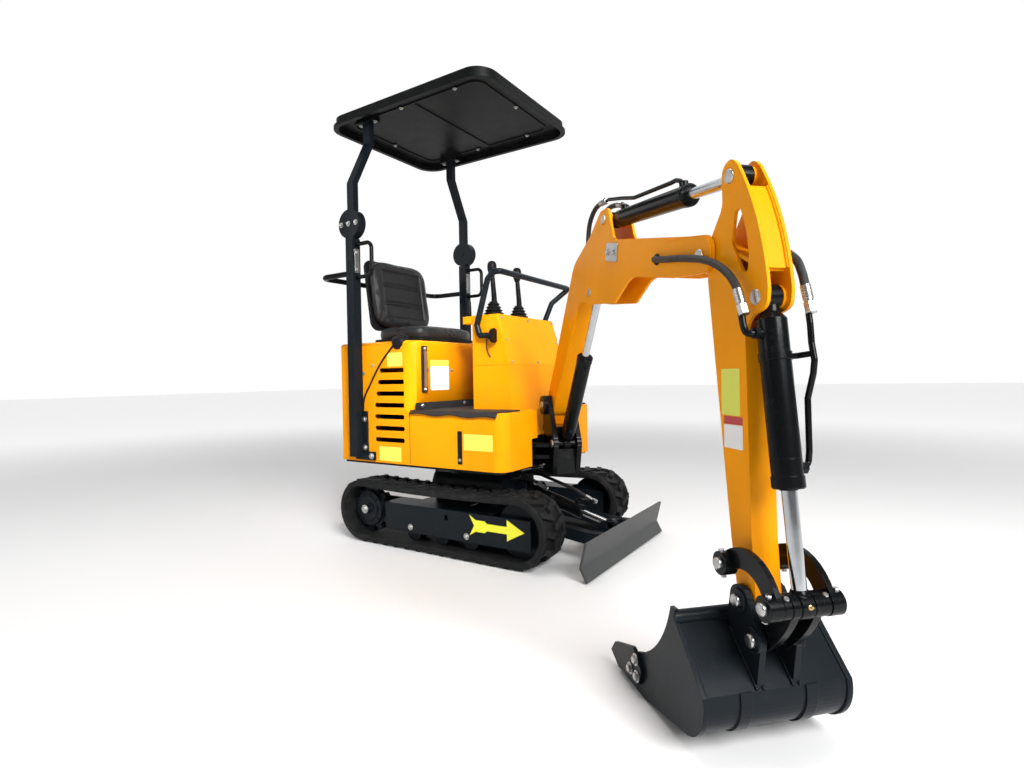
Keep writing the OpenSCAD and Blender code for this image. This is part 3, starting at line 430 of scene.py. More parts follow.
def rubber(name, base, dusty, rough):
    """Moulded rubber: fine pits, and dust that gathers on raised edges."""
    f = finish_named(name)
    pits = f.noise(900.0, 3.0, 0.6)
    dust = f.noise(25.0, 6.0, 0.7).step(0.42, 0.78)
    tone = f.mix(dust * 0.45 + f.edges(0.004) * 0.25, base, dusty)
    return f.surface(tone, rough + dust * 0.12, height=pits, depth=0.0003, edge=0.003,
                     Specular_IOR_Level=0.15)


def bright_metal(name, base, rough, waves, stretch):
    """Bare metal with fine marks drawn along one direction."""
    f = finish_named(name)
    marks = f.noise(waves, 2.0, 0.5, stretch)
    smear = f.noise(30.0, 4.0)
    tone = f.mix(smear.step(0.35, 0.75), shade(base, 0.86), base)
    return f.surface(tone, rough + smear * 0.12, metal=1.0, height=marks, depth=0.00002, edge=0.0008)


def vinyl(name):
    """Seat vinyl: a net of fine creases over cells, with a soft sheen."""
    f = finish_named(name)
    settings = {"feature": "DISTANCE_TO_EDGE"}
    cells = f.node("ShaderNodeTexVoronoi", settings, {"Vector": f.place(), "Scale": 420.0}, "Distance")
    folds = f.noise(45.0, 4.0)
    rubbed = f.noise(9.0, 4.0).step(0.45, 0.75)
    tone = f.mix(rubbed * 0.5, (0.005, 0.0055, 0.0065, 1), (0.012, 0.013, 0.014, 1))
    grain = cells.step(0.0, 0.25) + folds * 0.4
    rough = 0.27 + folds * 0.12 - rubbed * 0.06
    return f.surface(tone, rough, height=grain, depth=0.0004, edge=0, Sheen_Weight=0.05, Sheen_Roughness=0.4,
                     Coat_Weight=0.08, Coat_Roughness=0.25, Specular_IOR_Level=0.35)


def hose_cover(name):
    """Hose rubber with the cloth print of its wrapping: the product of two crossed sines."""
    f = finish_named(name)
    x, y, z = f.place_parts()
    print_marks = ((x + y + z) * 1500.0).sine() * ((x - y + z) * 1500.0).sine()
    dust = f.noise(40.0, 5.0).step(0.45, 0.8)
    tone = f.mix(dust * 0.5, (0.006, 0.006, 0.0065, 1), (0.022, 0.022, 0.022, 1))
    return f.surface(tone, 0.52 + dust * 0.2, height=print_marks, depth=0.0003, edge=0)


def plain_plastic(name, base, rough, waves=1200.0):
    """Moulded plastic: fine leather-like texture and a little rubbing."""
    f = finish_named(name)
    pits = f.noise(waves, 2.0, 0.5)
    rubbed = f.noise(12.0, 5.0).step(0.4, 0.8)
    tone = f.mix(rubbed * 0.6, base, shade(base, 1.9, 0.004))
    return f.surface(tone, rough + rubbed * 0.1, height=pits, depth=0.00025, edge=0.002,
                     Specular_IOR_Level=0.1)


def plain_film(name, base):
    """Stuck-on film: an even colour with faint fading and a soft gloss."""
    f = finish_named(name)
    fade = f.noise(40.0, 4.0).step(0.3, 0.8)
    tone = f.mix(fade * 0.25, base, shade(base, 0.8, 0.12))
    return f.surface(tone, 0.32 + fade * 0.15, height=fade, depth=0.00005, edge=0.0006)


def mat_rubber(name):
    """Floor mat: rows of raised oval pads made by the product of two sines."""
    f = finish_named(name)
    x, y = f.place_parts()[:2]
    pads = (((x + y) * 190.0).sine() * ((x - y) * 190.0).sine()).step(0.0, 0.35)
    dust = f.noise(20.0, 6.0, 0.7).step(0.45, 0.75)
    tone = f.mix(dust * 0.5, (0.007, 0.007, 0.0075, 1), (0.030, 0.028, 0.026, 1))
    return f.surface(tone, 0.62 + dust * 0.2, height=pads, depth=0.0012, edge=0.002)


YELLOW = paint("yellow_paint", (0.80, 0.285, 0.0012, 1), (0.30, 0.20, 0.10, 1), 0.36, 0.03, 0.06)
CHARCOAL = paint("charcoal_paint", (0.0065, 0.0095, 0.0125, 1), (0.13, 0.13, 0.13, 1), 0.30, 0.04, 0.09)
BLACK = paint("black_gloss_paint", (0.003, 0.0035, 0.004, 1), (0.10, 0.10, 0.10, 1), 0.22, 0.08, 0.09)
BLADE = paint("blade_paint", (0.050, 0.052, 0.052, 1), (0.24, 0.24, 0.23, 1), 0.42, 0.1)
TRACK = rubber("track_rubber", (0.008, 0.0085, 0.009, 1), (0.042, 0.041, 0.038, 1), 0.62)
CHROME = bright_metal("rod_chrome", (0.56, 0.58, 0.60, 1), 0.10, 300.0, (1, 1, 0.02))
BRASS = bright_metal("grease_nipple_brass", (0.75, 0.55, 0.20, 1), 0.22, 200.0, (1, 1, 1))
ZINC = bright_metal("zinc_plate", (0.50, 0.50, 0.49, 1), 0.26, 200.0, (1, 1, 1))
VINYL = vinyl("seat_vinyl")
HOSE = hose_cover("hose_cover")
MAT = mat_rubber("mat_rubber")
PLASTIC = plain_plastic("black_plastic", (0.006, 0.006, 0.007, 1), 0.40)
CANOPY = plain_plastic("canopy_plastic", (0.0045, 0.005, 0.005, 1), 0.38, 500.0)
BOOT = plain_plastic("boot_rubber", (0.007, 0.007, 0.008, 1), 0.4, 300.0)
GAUGE = plain_plastic("gauge_glass", (0.16, 0.085, 0.05, 1), 0.12)
GAUGE_FRAME = plain_plastic("gauge_frame", (0.022, 0.014, 0.010, 1), 0.3)
LABEL = plain_film("label_film", (0.62, 0.65, 0.07, 1))
ARROW = plain_film("arrow_film", (0.83, 0.80, 0.02, 1))
WHITE_FILM = plain_film("white_film", (0.72, 0.72, 0.72, 1))
RED_FILM = plain_film("red_film", (0.42, 0.02, 0.03, 1))

# Each material slot with the finishes that go in it, the solids' own finish first
SLOT_FINISHES = {
    "yellow_paint": (YELLOW, LABEL, WHITE_FILM, RED_FILM),
    "grey_paint": (CHARCOAL, ARROW),
    "black_paint": (BLACK,),
    "rod_chrome": (CHROME, ZINC, BRASS),
    "track_rubber": (TRACK, MAT),
    "hose_rubber": (HOSE,),
    "seat_vinyl": (VINYL,),
    "black_plastic": (PLASTIC, BOOT, GAUGE, GAUGE_FRAME),
}
OWN_FINISH = {"floor_mat": MAT, "canopy_roof": CANOPY, "blade_plate": BLADE, "filler_cap": PLASTIC}
BODY_OF = {n: b for b, names in frame["record"]["behaviour"]["bodies"].items() for n in names}
SLOT_OF = {s["node"]: s["material_slot"] for s in frame["record"]["subparts"]}

for node_name, thing in frame["nodes"].items():
    thing.data.materials.clear()
    thing.data.materials.append(OWN_FINISH.get(node_name) or SLOT_FINISHES[SLOT_OF[node_name]][0])


# Camera, floor and light

FOCAL_PIXELS, FRAME_PIXELS = 582.13, 1024
CAMERA_TURN = 33.0046, -0.7108, 1.0027
CAMERA_PLACE = 1.7841, -2.4843, 0.8163


def look(yaw, pitch, roll):
    """Right, down and forward of a camera turned by yaw from +Y, tipped up by pitch and rolled clockwise."""
    y, t, r = np.radians([yaw, pitch, roll])
    forward = np.array([-np.sin(y) * np.cos(t), np.cos(y) * np.cos(t), np.sin(t)])
    right = np.array([np.cos(y), np.sin(y), 0])
    down = np.cross(forward, right)
    return np.cos(r) * right + np.sin(r) * down, np.cos(r) * down - np.sin(r) * right, forward


def set_axes(thing, axes, place):
    """Turns an object's own axes to three directions and moves it to a place."""
    m = np.eye(4)
    m[:3, :3] = np.transpose(axes)
    m[:3, 3] = place
    thing.matrix_world = Matrix(m.tolist())


def add_camera():
    """Camera of the photograph, its lens from the focal length in pixels."""
    lens = bpy.data.cameras.new("camera")
    lens.sensor_width = 36
    lens.lens = lens.sensor_width * FOCAL_PIXELS / FRAME_PIXELS
    lens.clip_end = 60
    thing = new_object("camera", lens)
    right, down, forward = look(*CAMERA_TURN)
    set_axes(thing, (right, -down, -forward), CAMERA_PLACE)
    bpy.context.scene.camera = thing


def add_light(name, place, target, size, power, spread=np.pi):
    """Square soft box at a place, turned to a target."""
    lamp = bpy.data.lights.new(name, "AREA")
    lamp.size = size
    lamp.energy = power
    lamp.spread = spread
    back = unit(np.asarray(place, float) - np.asarray(target, float))
    set_axes(new_object(name, lamp), (*axes_about(back), back), place)


def add_surround():
    """White glow behind the machine, falling to grey on the photographer's side."""
    world = bpy.data.worlds.new("surround")
    f = Finish(world)
    way = f.node("ShaderNodeTexCoord", output="Generated")
    behind = tuple(look(CAMERA_TURN[0], 0, 0)[2])
    strength = 0.12 + f.vector("DOT_PRODUCT", way, behind).step(0.1, 0.66) * 0.88
    back = f.node("ShaderNodeBackground", None, {"Color": (1, 1, 1, 1), "Strength": strength})
    f.node("ShaderNodeOutputWorld", None, {"Surface": back})
    bpy.context.scene.world = world


def add_studio():
    """Pale floor with a painted glow that rises with distance and fades it into the surround, and soft boxes
    in front, on the house, to the left and above.
    """
    size, drop = 40.0, -0.0005
    mesh = bpy.data.meshes.new("floor")
    corners = [(x * size, y * size, drop) for x, y in ((-1, -1), (1, -1), (1, 1), (-1, 1))]
    mesh.from_pydata(corners, [], [(0, 1, 2, 3)])
    floor = new_object("floor", mesh)
    f = finish_named("floor_paint_with_glow")
    # Painted glow: the floor emits light, from nothing at 2.5 m to half white at 9 m from the middle, so the
    # far floor turns as bright as the surround.
    painted_glow = f.mix(f.vector("LENGTH", f.place()).step(2.5, 9.0), (0, 0, 0, 1), (0.5, 0.5, 0.5, 1))
    rough = 0.6 + f.noise(2.0) * 0.05
    grey = (0.82, 0.82, 0.82, 1)
    mesh.materials.append(f.surface(grey, rough, edge=0, Emission_Color=painted_glow, Emission_Strength=1.0))
    add_surround()
    add_light("front_box", (4.8, -2.8, 3.4), (0.5, -0.5, 0.8), 2.6, 430)
    add_light("house_box", (2.0, -2.2, 2.4), (-0.05, -0.25, 0.75), 0.7, 5.0, 0.5)
    add_light("left_box", (-3.0, -4.2, 2.6), (0.2, -0.3, 0.9), 2.2, 45)
    add_light("top_box", (0.6, -0.6, 5.4), (0.4, -0.4, 0.8), 3.0, 110)
    view = bpy.context.scene.view_settings
    view.view_transform = "Standard"
    view.look = "None"


add_camera()
add_studio()


# Cylinders: smooth barrels, chrome rods and black eyes


def cylinder_pieces(stem, foot, eye, across, length, radius, ports=()):
    """Barrel turned about the line from foot to eye, its eye about the pin, and the rod in the same way."""
    axis = unit(eye - foot)
    total = np.linalg.norm(eye - foot)
    end, r = length, radius
    boss = [[0, 0.0255], [0.0015, 0.027], [0.0285, 0.027], [0.030, 0.0255]]
    body = [[0.010, 0], [0.012, 0.0185], [0.030, 0.0195], [0.038, 0.0215], [0.0425, 0.0265],
            [0.045, r - 0.003], [0.049, r], [end - 0.062, r], [end - 0.0612, r - 0.0008], [end - 0.0604, r],
            [end - 0.026, r], [end - 0.0255, r + 0.0018], [end - 0.003, r + 0.0018], [end, r - 0.001],
            [end, 0.0185], [end + 0.003, 0.0175], [end + 0.003, 0.0152], [end - 0.004, 0.0152]]
    port = [[r - 0.006, 0.011], [r + 0.012, 0.011], [r + 0.013, 0.010]]
    shapes = [lathe(foot - across * 0.015, across, boss), lathe(foot, axis, body, 64)]
    shapes += [lathe(foot + axis * distance, way, port, 24) for distance, way in ports]
    barrel = piece(stem + "_barrel_body", shapes, BLACK, stem + "_barrel", sharp=35)
    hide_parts(stem + "_barrel")
    bar = [[end - 0.02, 0.015], [total - 0.028, 0.015]]
    rod = piece(stem + "_rod_bar", lathe(foot, axis, bar, 64), CHROME, stem + "_rod")
    collar = [[total - 0.030, 0.0168], [total - 0.028, 0.0176], [total - 0.022, 0.020], [total - 0.01, 0.020]]
    shapes = [lathe(foot, axis, collar), lathe(eye - across * 0.015, across, boss)]
    piece(stem + "_rod_eye", shapes, BLACK, stem + "_rod", sharp=35)
    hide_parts(stem + "_rod")


def cylinders():
    """The three cylinders of the arm, the blade's and the one that swings the arm."""
    for stem, pins, length, radius, ports in (
        ("boom", BOOM_CYL, 0.480, 0.031, [(0.075, OUT), (0.43, OUT)]),
        ("stick", STICK_CYL, 0.522, 0.029, [(0.08, UP), (0.49, UP)]),
        ("bucket", BUCKET_CYL, 0.400, 0.031, [(0.078, -ACROSS), (0.36, ACROSS)]),
    ):
        cylinder_pieces(stem, at(pins[0]), at(pins[1]), ACROSS, length, radius, ports)
    ports = [(reach, (0.27, 0, 0.96)) for reach in BLADE_PORTS]
    cylinder_pieces("blade", BLADE_FOOT, BLADE_EYE, LEFT, 0.340, 0.031, ports)
    cylinder_pieces("swing", SWING_FOOT, arm([40, -140, 467]), UP, 0.345, 0.029)


# Pin heads and bolts


def heads(name, body, places, radius, height=0.004):
    """Bright pin heads on both sides of the arm at (pin, half width) places."""
    ends = [(at(pin, s * half), s * ACROSS) for pin, half in places for s in (-1, 1)]
    piece(name, [round_head(place, way, radius, height) for place, way in ends], ZINC, body, sharp=50)


def pin_heads():
    """Heads of the arm's pins."""
    heads("boom_pin_heads", "boom", [(BOOM_CYL[1], 42)], 0.015)
    heads("boom_end_pin_heads", "boom", [(STICK_CYL[0], 45), (STICK_PIN, 50)], 0.0165)
    heads("stick_pin_heads", "stick", [(STICK_CYL[1], 32), (BUCKET_CYL[0], 32)], 0.017)
    heads("stick_end_pin_heads", "stick", [(ROCKER_PIN, 83.5)], 0.0135, 0.010)
    heads("stick_tip_pin_heads", "stick", [(BUCKET_PIN, 55.5)], 0.0145, 0.0085)
    heads("link_pin_heads", "link", [(LINK_PIN, 83.5)], 0.0135, 0.010)
    heads("bucket_pin_heads", "bucket", [(BUCKET_LINK_PIN, 55.5)], 0.0145, 0.0085)
    heads("bracket_pin_heads", "swing_bracket", [(BOOM_FOOT, 84), (BOOM_CYL[0], 66)], 0.018, 0.006)


def bolts(name, body, places, axis, radius, head=0.007):
    """Bright bolts with washers at places, all along one axis."""
    piece(name, [bolt(p, axis, radius, head) for p in places], ZINC, body, sharp=30)


def roller_bolts():
    """Bolts of the track rollers on each track frame."""
    for side, name in SIDES:
        spots = [(x, side * TRACK_FRAME_SIDE, 0.106) for x in (-0.146, 0.190)]
        bolts("roller_bolts_" + name, "undercarriage", spots, side * LEFT, 0.010)


# Rear housing


def on_hood_top(edge):
    """True on the edges of the hood's top."""
    return all(v.co.z > 0.9995 for v in edge.verts)


def in_louver(edge):
    """True on the edges that run inwards at a louver's corners."""
    a, b = edge.verts
    inwards = abs(a.co.x - b.co.x) + abs(a.co.z - b.co.z) < 1e-4 and min(abs(a.co.y), abs(b.co.y)) > 0.41
    return inwards and -0.5 < a.co.x < -0.15 and 0.5 < a.co.z < 0.88


def rounded_copy(name, node, rounds, steps=5):
    """Copy of a node's solid with its flat faces joined, then the edges of each choice rounded."""
    source = frame["nodes"][node]
    mesh = source.data.copy()
    mesh.name = name
    bm = bmesh.new()
    bm.from_mesh(mesh)
    bmesh.ops.transform(bm, matrix=source.matrix_world, verts=bm.verts)
    bmesh.ops.remove_doubles(bm, verts=bm.verts, dist=1e-5)
    bmesh.ops.dissolve_limit(bm, angle_limit=np.radians(1), verts=bm.verts, edges=bm.edges)
    for choose, radius in rounds:
        edges = [e for e in bm.edges if len(e.link_faces) == 2 and e.calc_face_angle() > 0.5 and choose(e)]
        bmesh.ops.bevel(bm, geom=edges, offset=radius, segments=steps, profile=0.5, affect="EDGES",
                        clamp_overlap=False)
    bm.to_mesh(mesh)
    bm.free()
    mesh.shade_smooth()
    mesh.set_sharp_from_angle(angle=np.radians(35))
    thing = new_object(name, mesh)
    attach(thing, BODY_OF[node])
    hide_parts(node)


# Hoses and pipes

PIPE_RADIUS = 0.0065
HOSE_LEFT = np.array([51.3, 55.3] + [59.3] * 7)
HOSE_ROUTES = (
    [[1196, 1140], [1240, 1131], [1300, 1120], [1363, 1109], [1464, 1086], [1529, 1060], [1573, 1031],
     [1598, 1004], [1605, 990]],
    [[1196, 1140], [1240, 1134], [1300, 1126], [1400, 1119], [1500, 1106], [1580, 1088], [1633, 1057],
     [1653, 1025], [1664, 991]],
)


def fitting(tip, way, radius=0.009):
    """Crimped ferrule and swivel nut on a hose's end: rings pressed into the ferrule, then a hexagon."""
    r = radius
    steps = ((0, 0.0016), (0.0046, 0.0016), (0.0052, 0.0006), (0.0058, 0.0006))
    rings = [[-0.004 + 0.0064 * k + dx, r + dr] for k in range(5) for dx, dr in steps]
    ferrule = [[-0.004, r + 0.001]] + rings + [[0.032, r - 0.001], [0.034, r - 0.001]]
    nut = [[0.033, r + 0.002], [0.034, r + 0.003], [0.055, r + 0.003], [0.057, r + 0.0015]]
    return together([lathe(tip, way, ferrule, 28), lathe(tip, way, nut, 6)])


def stick_hoses():
    """Hose from each side of the boom to the bucket cylinder, its path curving down past the stick pin."""
    for (side, near), route in zip(NEAR_FAR, HOSE_ROUTES):
        name = "stick_hose_" + near
        left = side * HOSE_LEFT
        path = smooth_path(at(route, left), 10)
        hose = piece(name, tube(path, 0.009, 20), HOSE, None)
        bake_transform(hose)
        if side < 0:
            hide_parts("stick_hose")
        piece(name + "_fitting", fitting(path[-1], unit(path[-1] - path[-3])), ZINC, "stick", sharp=30)
        ring = [[0.0, 0.016], [0.003, 0.0165], [0.006, 0.014], [0.0065, 0.0]]
        grommet = lathe(at(route[0], side * 42), side * ACROSS, ring, 32)
        piece(name + "_grommet", grommet, PLASTIC, "boom")


def pipes(name, body, routes, bend):
    """Steel pipes along straight runs with round turns, joined to one piece."""
    piece(name, [tube(round_path(route, bend), PIPE_RADIUS, 14) for route in routes], BLACK, body)


def along_bucket_cylinder(points):
    """Places by (length from the foot pin, forward, left) in millimetres about the bucket cylinder's line."""
    foot, eye = (np.array([p[0], 0, p[1]]) for p in BUCKET_CYL)
    axis = unit(eye - foot)
    front = np.array([-axis[2], 0, axis[0]])
    p = np.asarray(points, float)
    return arm(foot + p[:, :1] * axis + p[:, 1:2] * front + p[:, 2:] * LEFT)


def bucket_cylinder_lines():
    """Elbow at the near port, and the far side's pipe down to the gland with its stay."""
    near = arm([[1617, -59.3, 944], [1621, -59.3, 926], [1626, -59, 910], [1632, -57, 900], [1637, -50, 898],
                [1638, -36, 898]])
    far = arm([[1672, 59.3, 938], [1676, 59.3, 915], [1680, 59, 875], [1688, 59, 840], [1684, 59, 812],
               [1667, 59, 761], [1670, 59, 652], [1668, 58, 624], [1677, 36, 619]])
    stay = along_bucket_cylinder([[128, 0, 28], [128, 12, 45], [128, 36, 59]])
    pipes("bucket_cylinder_lines", "bucket_barrel", [far, stay], 0.012)
    piece("bucket_cylinder_elbow", tube(smooth_path(near), 0.0075, 16), BLACK, "bucket_barrel")
    nut = [[0.0, 0.013], [0.012, 0.013], [0.013, 0.012]]
    nuts = [lathe(arm([1638, -45, 898]), ACROSS, nut, 6), lathe(arm([1677, 44, 619]), -ACROSS, nut, 6)]
    piece("bucket_port_nuts", nuts, BLACK, "bucket_barrel", sharp=30)
    clamp, further = along_bucket_cylinder([[128, 0, 0], [384, 0, 0]])
    band = [[-0.009, 0.0325], [-0.008, 0.0335], [0.008, 0.0335], [0.009, 0.0325]]
    piece("bucket_barrel_band", lathe(clamp, further - clamp, band), BLACK, "bucket_barrel", sharp=35)


def stick_cylinder_lines():
    """Pipes along the top of the stick cylinder, and the hoses from them down to the boom's back."""
    line = at([[1276, 1318], [1276, 1336], [1246, 1348], [1219, 1350], [970, 1384], [870, 1413], [750, 1444],
               [690, 1450]], -8)
    short = at([[870, 1374], [870, 1386], [846, 1396], [800, 1412]], 14)
    pipes("stick_cylinder_lines", "stick_barrel", [line, short], 0.014)
    drop = at([[640, 1452], [593, 1441], [552, 1412], [533, 1372], [524, 1320], [520, 1270]], -8)
    far_drop = at([[720, 1428], [640, 1424], [580, 1404], [545, 1368], [532, 1320], [526, 1270]], 14)
    for end, pipe, route in (("", line, drop), ("_far", short, far_drop)):
        name = "stick_cylinder_hose" + end
        way = smooth_path(np.vstack([pipe[-1], route]))
        hose = piece(name, tube(way, 0.009, 18), HOSE, None)
        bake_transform(hose)
        tip = unit(pipe[-1] - pipe[-2])
        piece(name + "_fitting", fitting(pipe[-1] + tip * 0.012, -tip), ZINC, "stick_barrel", sharp=30)


# Levers


def levers():
    """Two joysticks: bellows of radius 56 falling to 22 mm in five folds, a bent stalk and a knob."""
    h = np.linspace(0, 1, 80)
    fold = 0.056 - 0.034 * h**0.9 + 0.005 * np.sin(TURN * 5 * h) * (1 - 0.4 * h)
    bellows = np.stack([h * 0.078, fold], -1)
    collar = [[0, 0.062], [0.004, 0.062], [0.005, 0.06]]
    bend = [[0.004, 0, 0.07], [0.004, 0, 0.10], [0.0, 0, 0.15], [-0.004, 0, 0.2], [-0.006, 0, 0.232]]
    t = np.linspace(0, np.pi, 18)
    knob = np.stack([0.022 - 0.040 * np.cos(t), 0.0225 * np.sin(t) ** 0.7 * (1 - 0.22 * np.cos(t))], -1)
    for side, name in SIDES:
        base = np.array([0.145, 0.115 * side, 1.110])
        shapes = [lathe(base, UP, bellows, 40), lathe(base, UP, collar, 40)]
        boot = piece("lever_" + name + "_boot", shapes, BOOT, "house", sharp=60)
        stalk = base + np.array(bend)
        stem = tube(smooth_path(stalk), np.linspace(0.0145, 0.0105, 33), 16)
        top = lathe(stalk[-1] - UP * 0.014, UP, knob, 32)
        piece("lever_" + name + "_stem", [stem, top], PLASTIC, "house", sharp=60)
        if side < 0:
            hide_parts("control_levers")


def small_lever():
    """Short lever on a yellow block at the console's rear corner, and the cable that hangs down its side."""
    block = plate((0.088, -0.238, 1.072), FORWARD, LEFT, 0.052, 0.046, 0.006, 0.036)
    piece("lever_block", block, YELLOW, "house", bevel=0.002)
    grip = [[0, 0.009], [0.004, 0.010], [0.070, 0.0085], [0.078, 0.006], [0.080, 0]]
    piece("small_lever_grip", lathe((0.090, -0.240, 1.107), UP, grip, 24), BOOT, "house", sharp=50)
    route = [(0.205, -0.266, 1.000), (0.206, -0.268, 0.972), (0.211, -0.268, 0.940), (0.226, -0.265, 0.908)]
    piece("console_cable", tube(smooth_path(route, 10), 0.0028, 12), HOSE, "house")


# Seat

PAD_ROWS = (0, 0), (0, 0.5), (0, 0.93), (0.12, 0.98), (0.5, 1), (0.88, 0.98), (1, 0.92), (1, 0.5), (1, 0)


def places(mesh):
    """Points of a mesh as an array."""
    p = np.empty(len(mesh.vertices) * 3)
    mesh.vertices.foreach_get("co", p)
    return p.reshape(-1, 3)


def apply_all(thing):
    """Makes the shape that the modifiers give the mesh itself."""
    seen = thing.evaluated_get(bpy.context.evaluated_depsgraph_get())
    mesh = bpy.data.meshes.new_from_object(seen)
    thing.modifiers.clear()
    thing.data = mesh


def swell(thing, voxel, cap):
    """Remeshes a pad evenly and lets cloth pressure fill it, no point moving further than cap."""
    remesh = thing.modifiers.new("even", "REMESH")
    remesh.mode = "VOXEL"
    remesh.voxel_size = voxel
    apply_all(thing)
    before = places(thing.data)
    cloth = thing.modifiers.new("fill", "CLOTH")
    cloth.settings.use_pressure = True
    cloth.settings.uniform_pressure_force = 1.2
    cloth.settings.effector_weights.gravity = 0
    cloth.settings.tension_stiffness = 40
    cloth.settings.compression_stiffness = 40
    scene = bpy.context.scene
    for step in range(1, 21):
        scene.frame_set(step)
    apply_all(thing)
    scene.frame_set(1)
    move = places(thing.data) - before
    far = np.linalg.norm(move, axis=1, keepdims=True)
    move *= np.minimum(1, cap / np.maximum(far, 1e-9))
    thing.data.vertices.foreach_set("co", (before + move).ravel())


def press_seams(p, half_width, length, thick):
    """Sewn border and paired channels on the upper face, each a dip of depth * exp(-(distance / width)^2)."""
    x, y, z = p.T
    top = np.clip((z / thick - 0.6) / 0.3, 0, 1)
    border = np.maximum(np.abs(x) - (half_width - 0.066), np.abs(y - length / 2) - (length / 2 - 0.058))
    inside = np.clip(-border / 0.01, 0, 1)
    dip = 0.009 * np.exp(-((border / 0.0045) ** 2)) + 0.006 * inside
    for at_length in (0.36, 0.64):
        for shift in (-0.009, 0.009):
            dip = dip + inside * 0.007 * np.exp(-(((y - length * at_length - shift) / 0.004) ** 2))
    return np.stack([x, y, z - dip * top], -1)


def pad(name, half_width, length, thick, place, lean, node):
    """Padded slab: plan |x|^5 + |y|^5 = 1 swollen by cloth pressure, then pressed in at its seams."""
    u = np.linspace(0, TURN, 96, endpoint=False)
    along, across = (np.sign(w) * np.abs(w) ** 0.4 for w in (np.cos(u), np.sin(u)))
    rows = []
    for h, size in PAD_ROWS:
        lengthways = length / 2 + along * length / 2 * size
        rows.append(np.stack([across * half_width * size, lengthways, np.full(96, h * thick)], -1))
    thing = new_object(name, clean_mesh(name, [grid(np.array(rows), wrap_columns=True)]))
    swell(thing, 0.006, 0.005)
    division = thing.modifiers.new("division", "SUBSURF")
    division.levels = division.render_levels = 1
    apply_all(thing)
    mesh = thing.data
    p = press_seams(places(mesh), half_width, length, thick)
    mesh.vertices.foreach_set("co", (np.asarray(place) + p @ np.array(lean, float)).ravel())
    mesh.shade_smooth()
    mesh.materials.clear()
    mesh.materials.append(VINYL)
    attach(thing, "house")
    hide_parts(node)


def seat():
    """Cushion on the hood and back behind it, leaning back by 8 degrees, both in a moulded black shell."""
    tip = np.radians(8)
    rise = np.array([-np.sin(tip), 0, np.cos(tip)])
    ahead = np.array([np.cos(tip), 0, np.sin(tip)])
    low = np.array([-0.586, 0, 1.0985])
    pad("seat_cushion_pad", 0.236, 0.345, 0.066, (-0.570, 0, 1.0215), (-LEFT, FORWARD, UP), "seat_cushion")
    pad("seat_back_pad", 0.220, 0.378, 0.048, low, (LEFT, rise, ahead), "seat_back")
    shell = plate(low + rise * 0.185 - ahead * 0.013, LEFT, rise, 0.456, 0.398, 0.05, 0.015)
    pan = plate((-0.400, 0, 1.0145), FORWARD, LEFT, 0.352, 0.484, 0.045, 0.014)
    piece("seat_shell", [shell, pan], PLASTIC, "house", bevel=0.004)


# House fittings

FILM_THICK = 0.0006


def films():
    """Blank films on the house's side and front and on the stick."""
    top, low, head = at([[1531, 773], [1540, 672], [1540, 709]], -32)
    for name, body, centre, u, width, height, radius, finish in (
        ("film_filler", "house", (-0.223, -HOUSE_SIDE, 0.910), FORWARD, 0.100, 0.066, 0.004, LABEL),
        ("film_tail", "house", (-0.264, -HOUSE_SIDE, 0.450), FORWARD, 0.146, 0.070, 0.004, LABEL),
        ("film_level", "house", (0.268, -HOUSE_SIDE, 0.529), FORWARD, 0.158, 0.072, 0.004, LABEL),
        ("film_front", "house", (HOOD_FRONT, -0.243, 0.816), LEFT, 0.142, 0.118, 0.004, WHITE_FILM),
        ("film_front_head", "house", (HOOD_FRONT, -0.243, 0.891), LEFT, 0.142, 0.030, 0.004, LABEL),
        ("film_stick", "stick", top, OUT, 0.072, 0.106, 0.004, LABEL),
        ("film_stick_white", "stick", low, OUT, 0.072, 0.054, 0.002, WHITE_FILM),
        ("film_stick_red", "stick", head, OUT, 0.072, 0.018, 0.002, RED_FILM),
    ):
        piece(name, plate(centre, u, UP, width, height, radius, FILM_THICK), finish, body)


def arrows():
    """Yellow direction arrow on each track frame: a feathered tail, a shaft and a wide head."""
    half = np.array([[0, 46], [34, 26], [84, 26], [96, 16], [200, 16], [200, 46]])
    outline = np.vstack([half, [288, 0], half[::-1] * [1, -1], [26, 0]]) / 1000
    for side, name in SIDES:
        start = np.array([0.208, side * TRACK_FRAME_SIDE, 0.160])
        piece("arrow_" + name, prism(outline, start, FORWARD, -side * UP, 0.0007), ARROW, "undercarriage")


def level_gauge():
    """Upright sight glass in a dark channel at the hood's front corner, held by two round-nut fittings."""
    foot = np.array([HOOD_FRONT, -0.362, 0.748])
    lift = 0.225
    channel = plate(foot + UP * lift / 2, LEFT, UP, 0.036, lift, 0.004, 0.010)
    piece("gauge_channel", channel, GAUGE_FRAME, "house", bevel=0.001)
    glass = [[0, 0.009], [lift - 0.05, 0.009]]
    piece("gauge_glass", lathe(foot + [0.012, 0, 0.025], UP, glass, 24), GAUGE, "house")
    bolts("gauge_nuts", "house", [foot + [0.010, 0, h] for h in (0.014, lift - 0.014)], FORWARD, 0.008, 0.008)


def side_slot():
    """Dark strip with a screw at its foot on the lower body's side."""
    middle = np.array([0.167, -HOUSE_SIDE, 0.502])
    piece("sight_slot", plate(middle, FORWARD, UP, 0.026, 0.150, 0.002, 0.0008), BOOT, "house")
    bolts("sight_slot_screw", "house", [middle + [0, -0.0008, -0.055]], -LEFT, 0.005, 0.003)


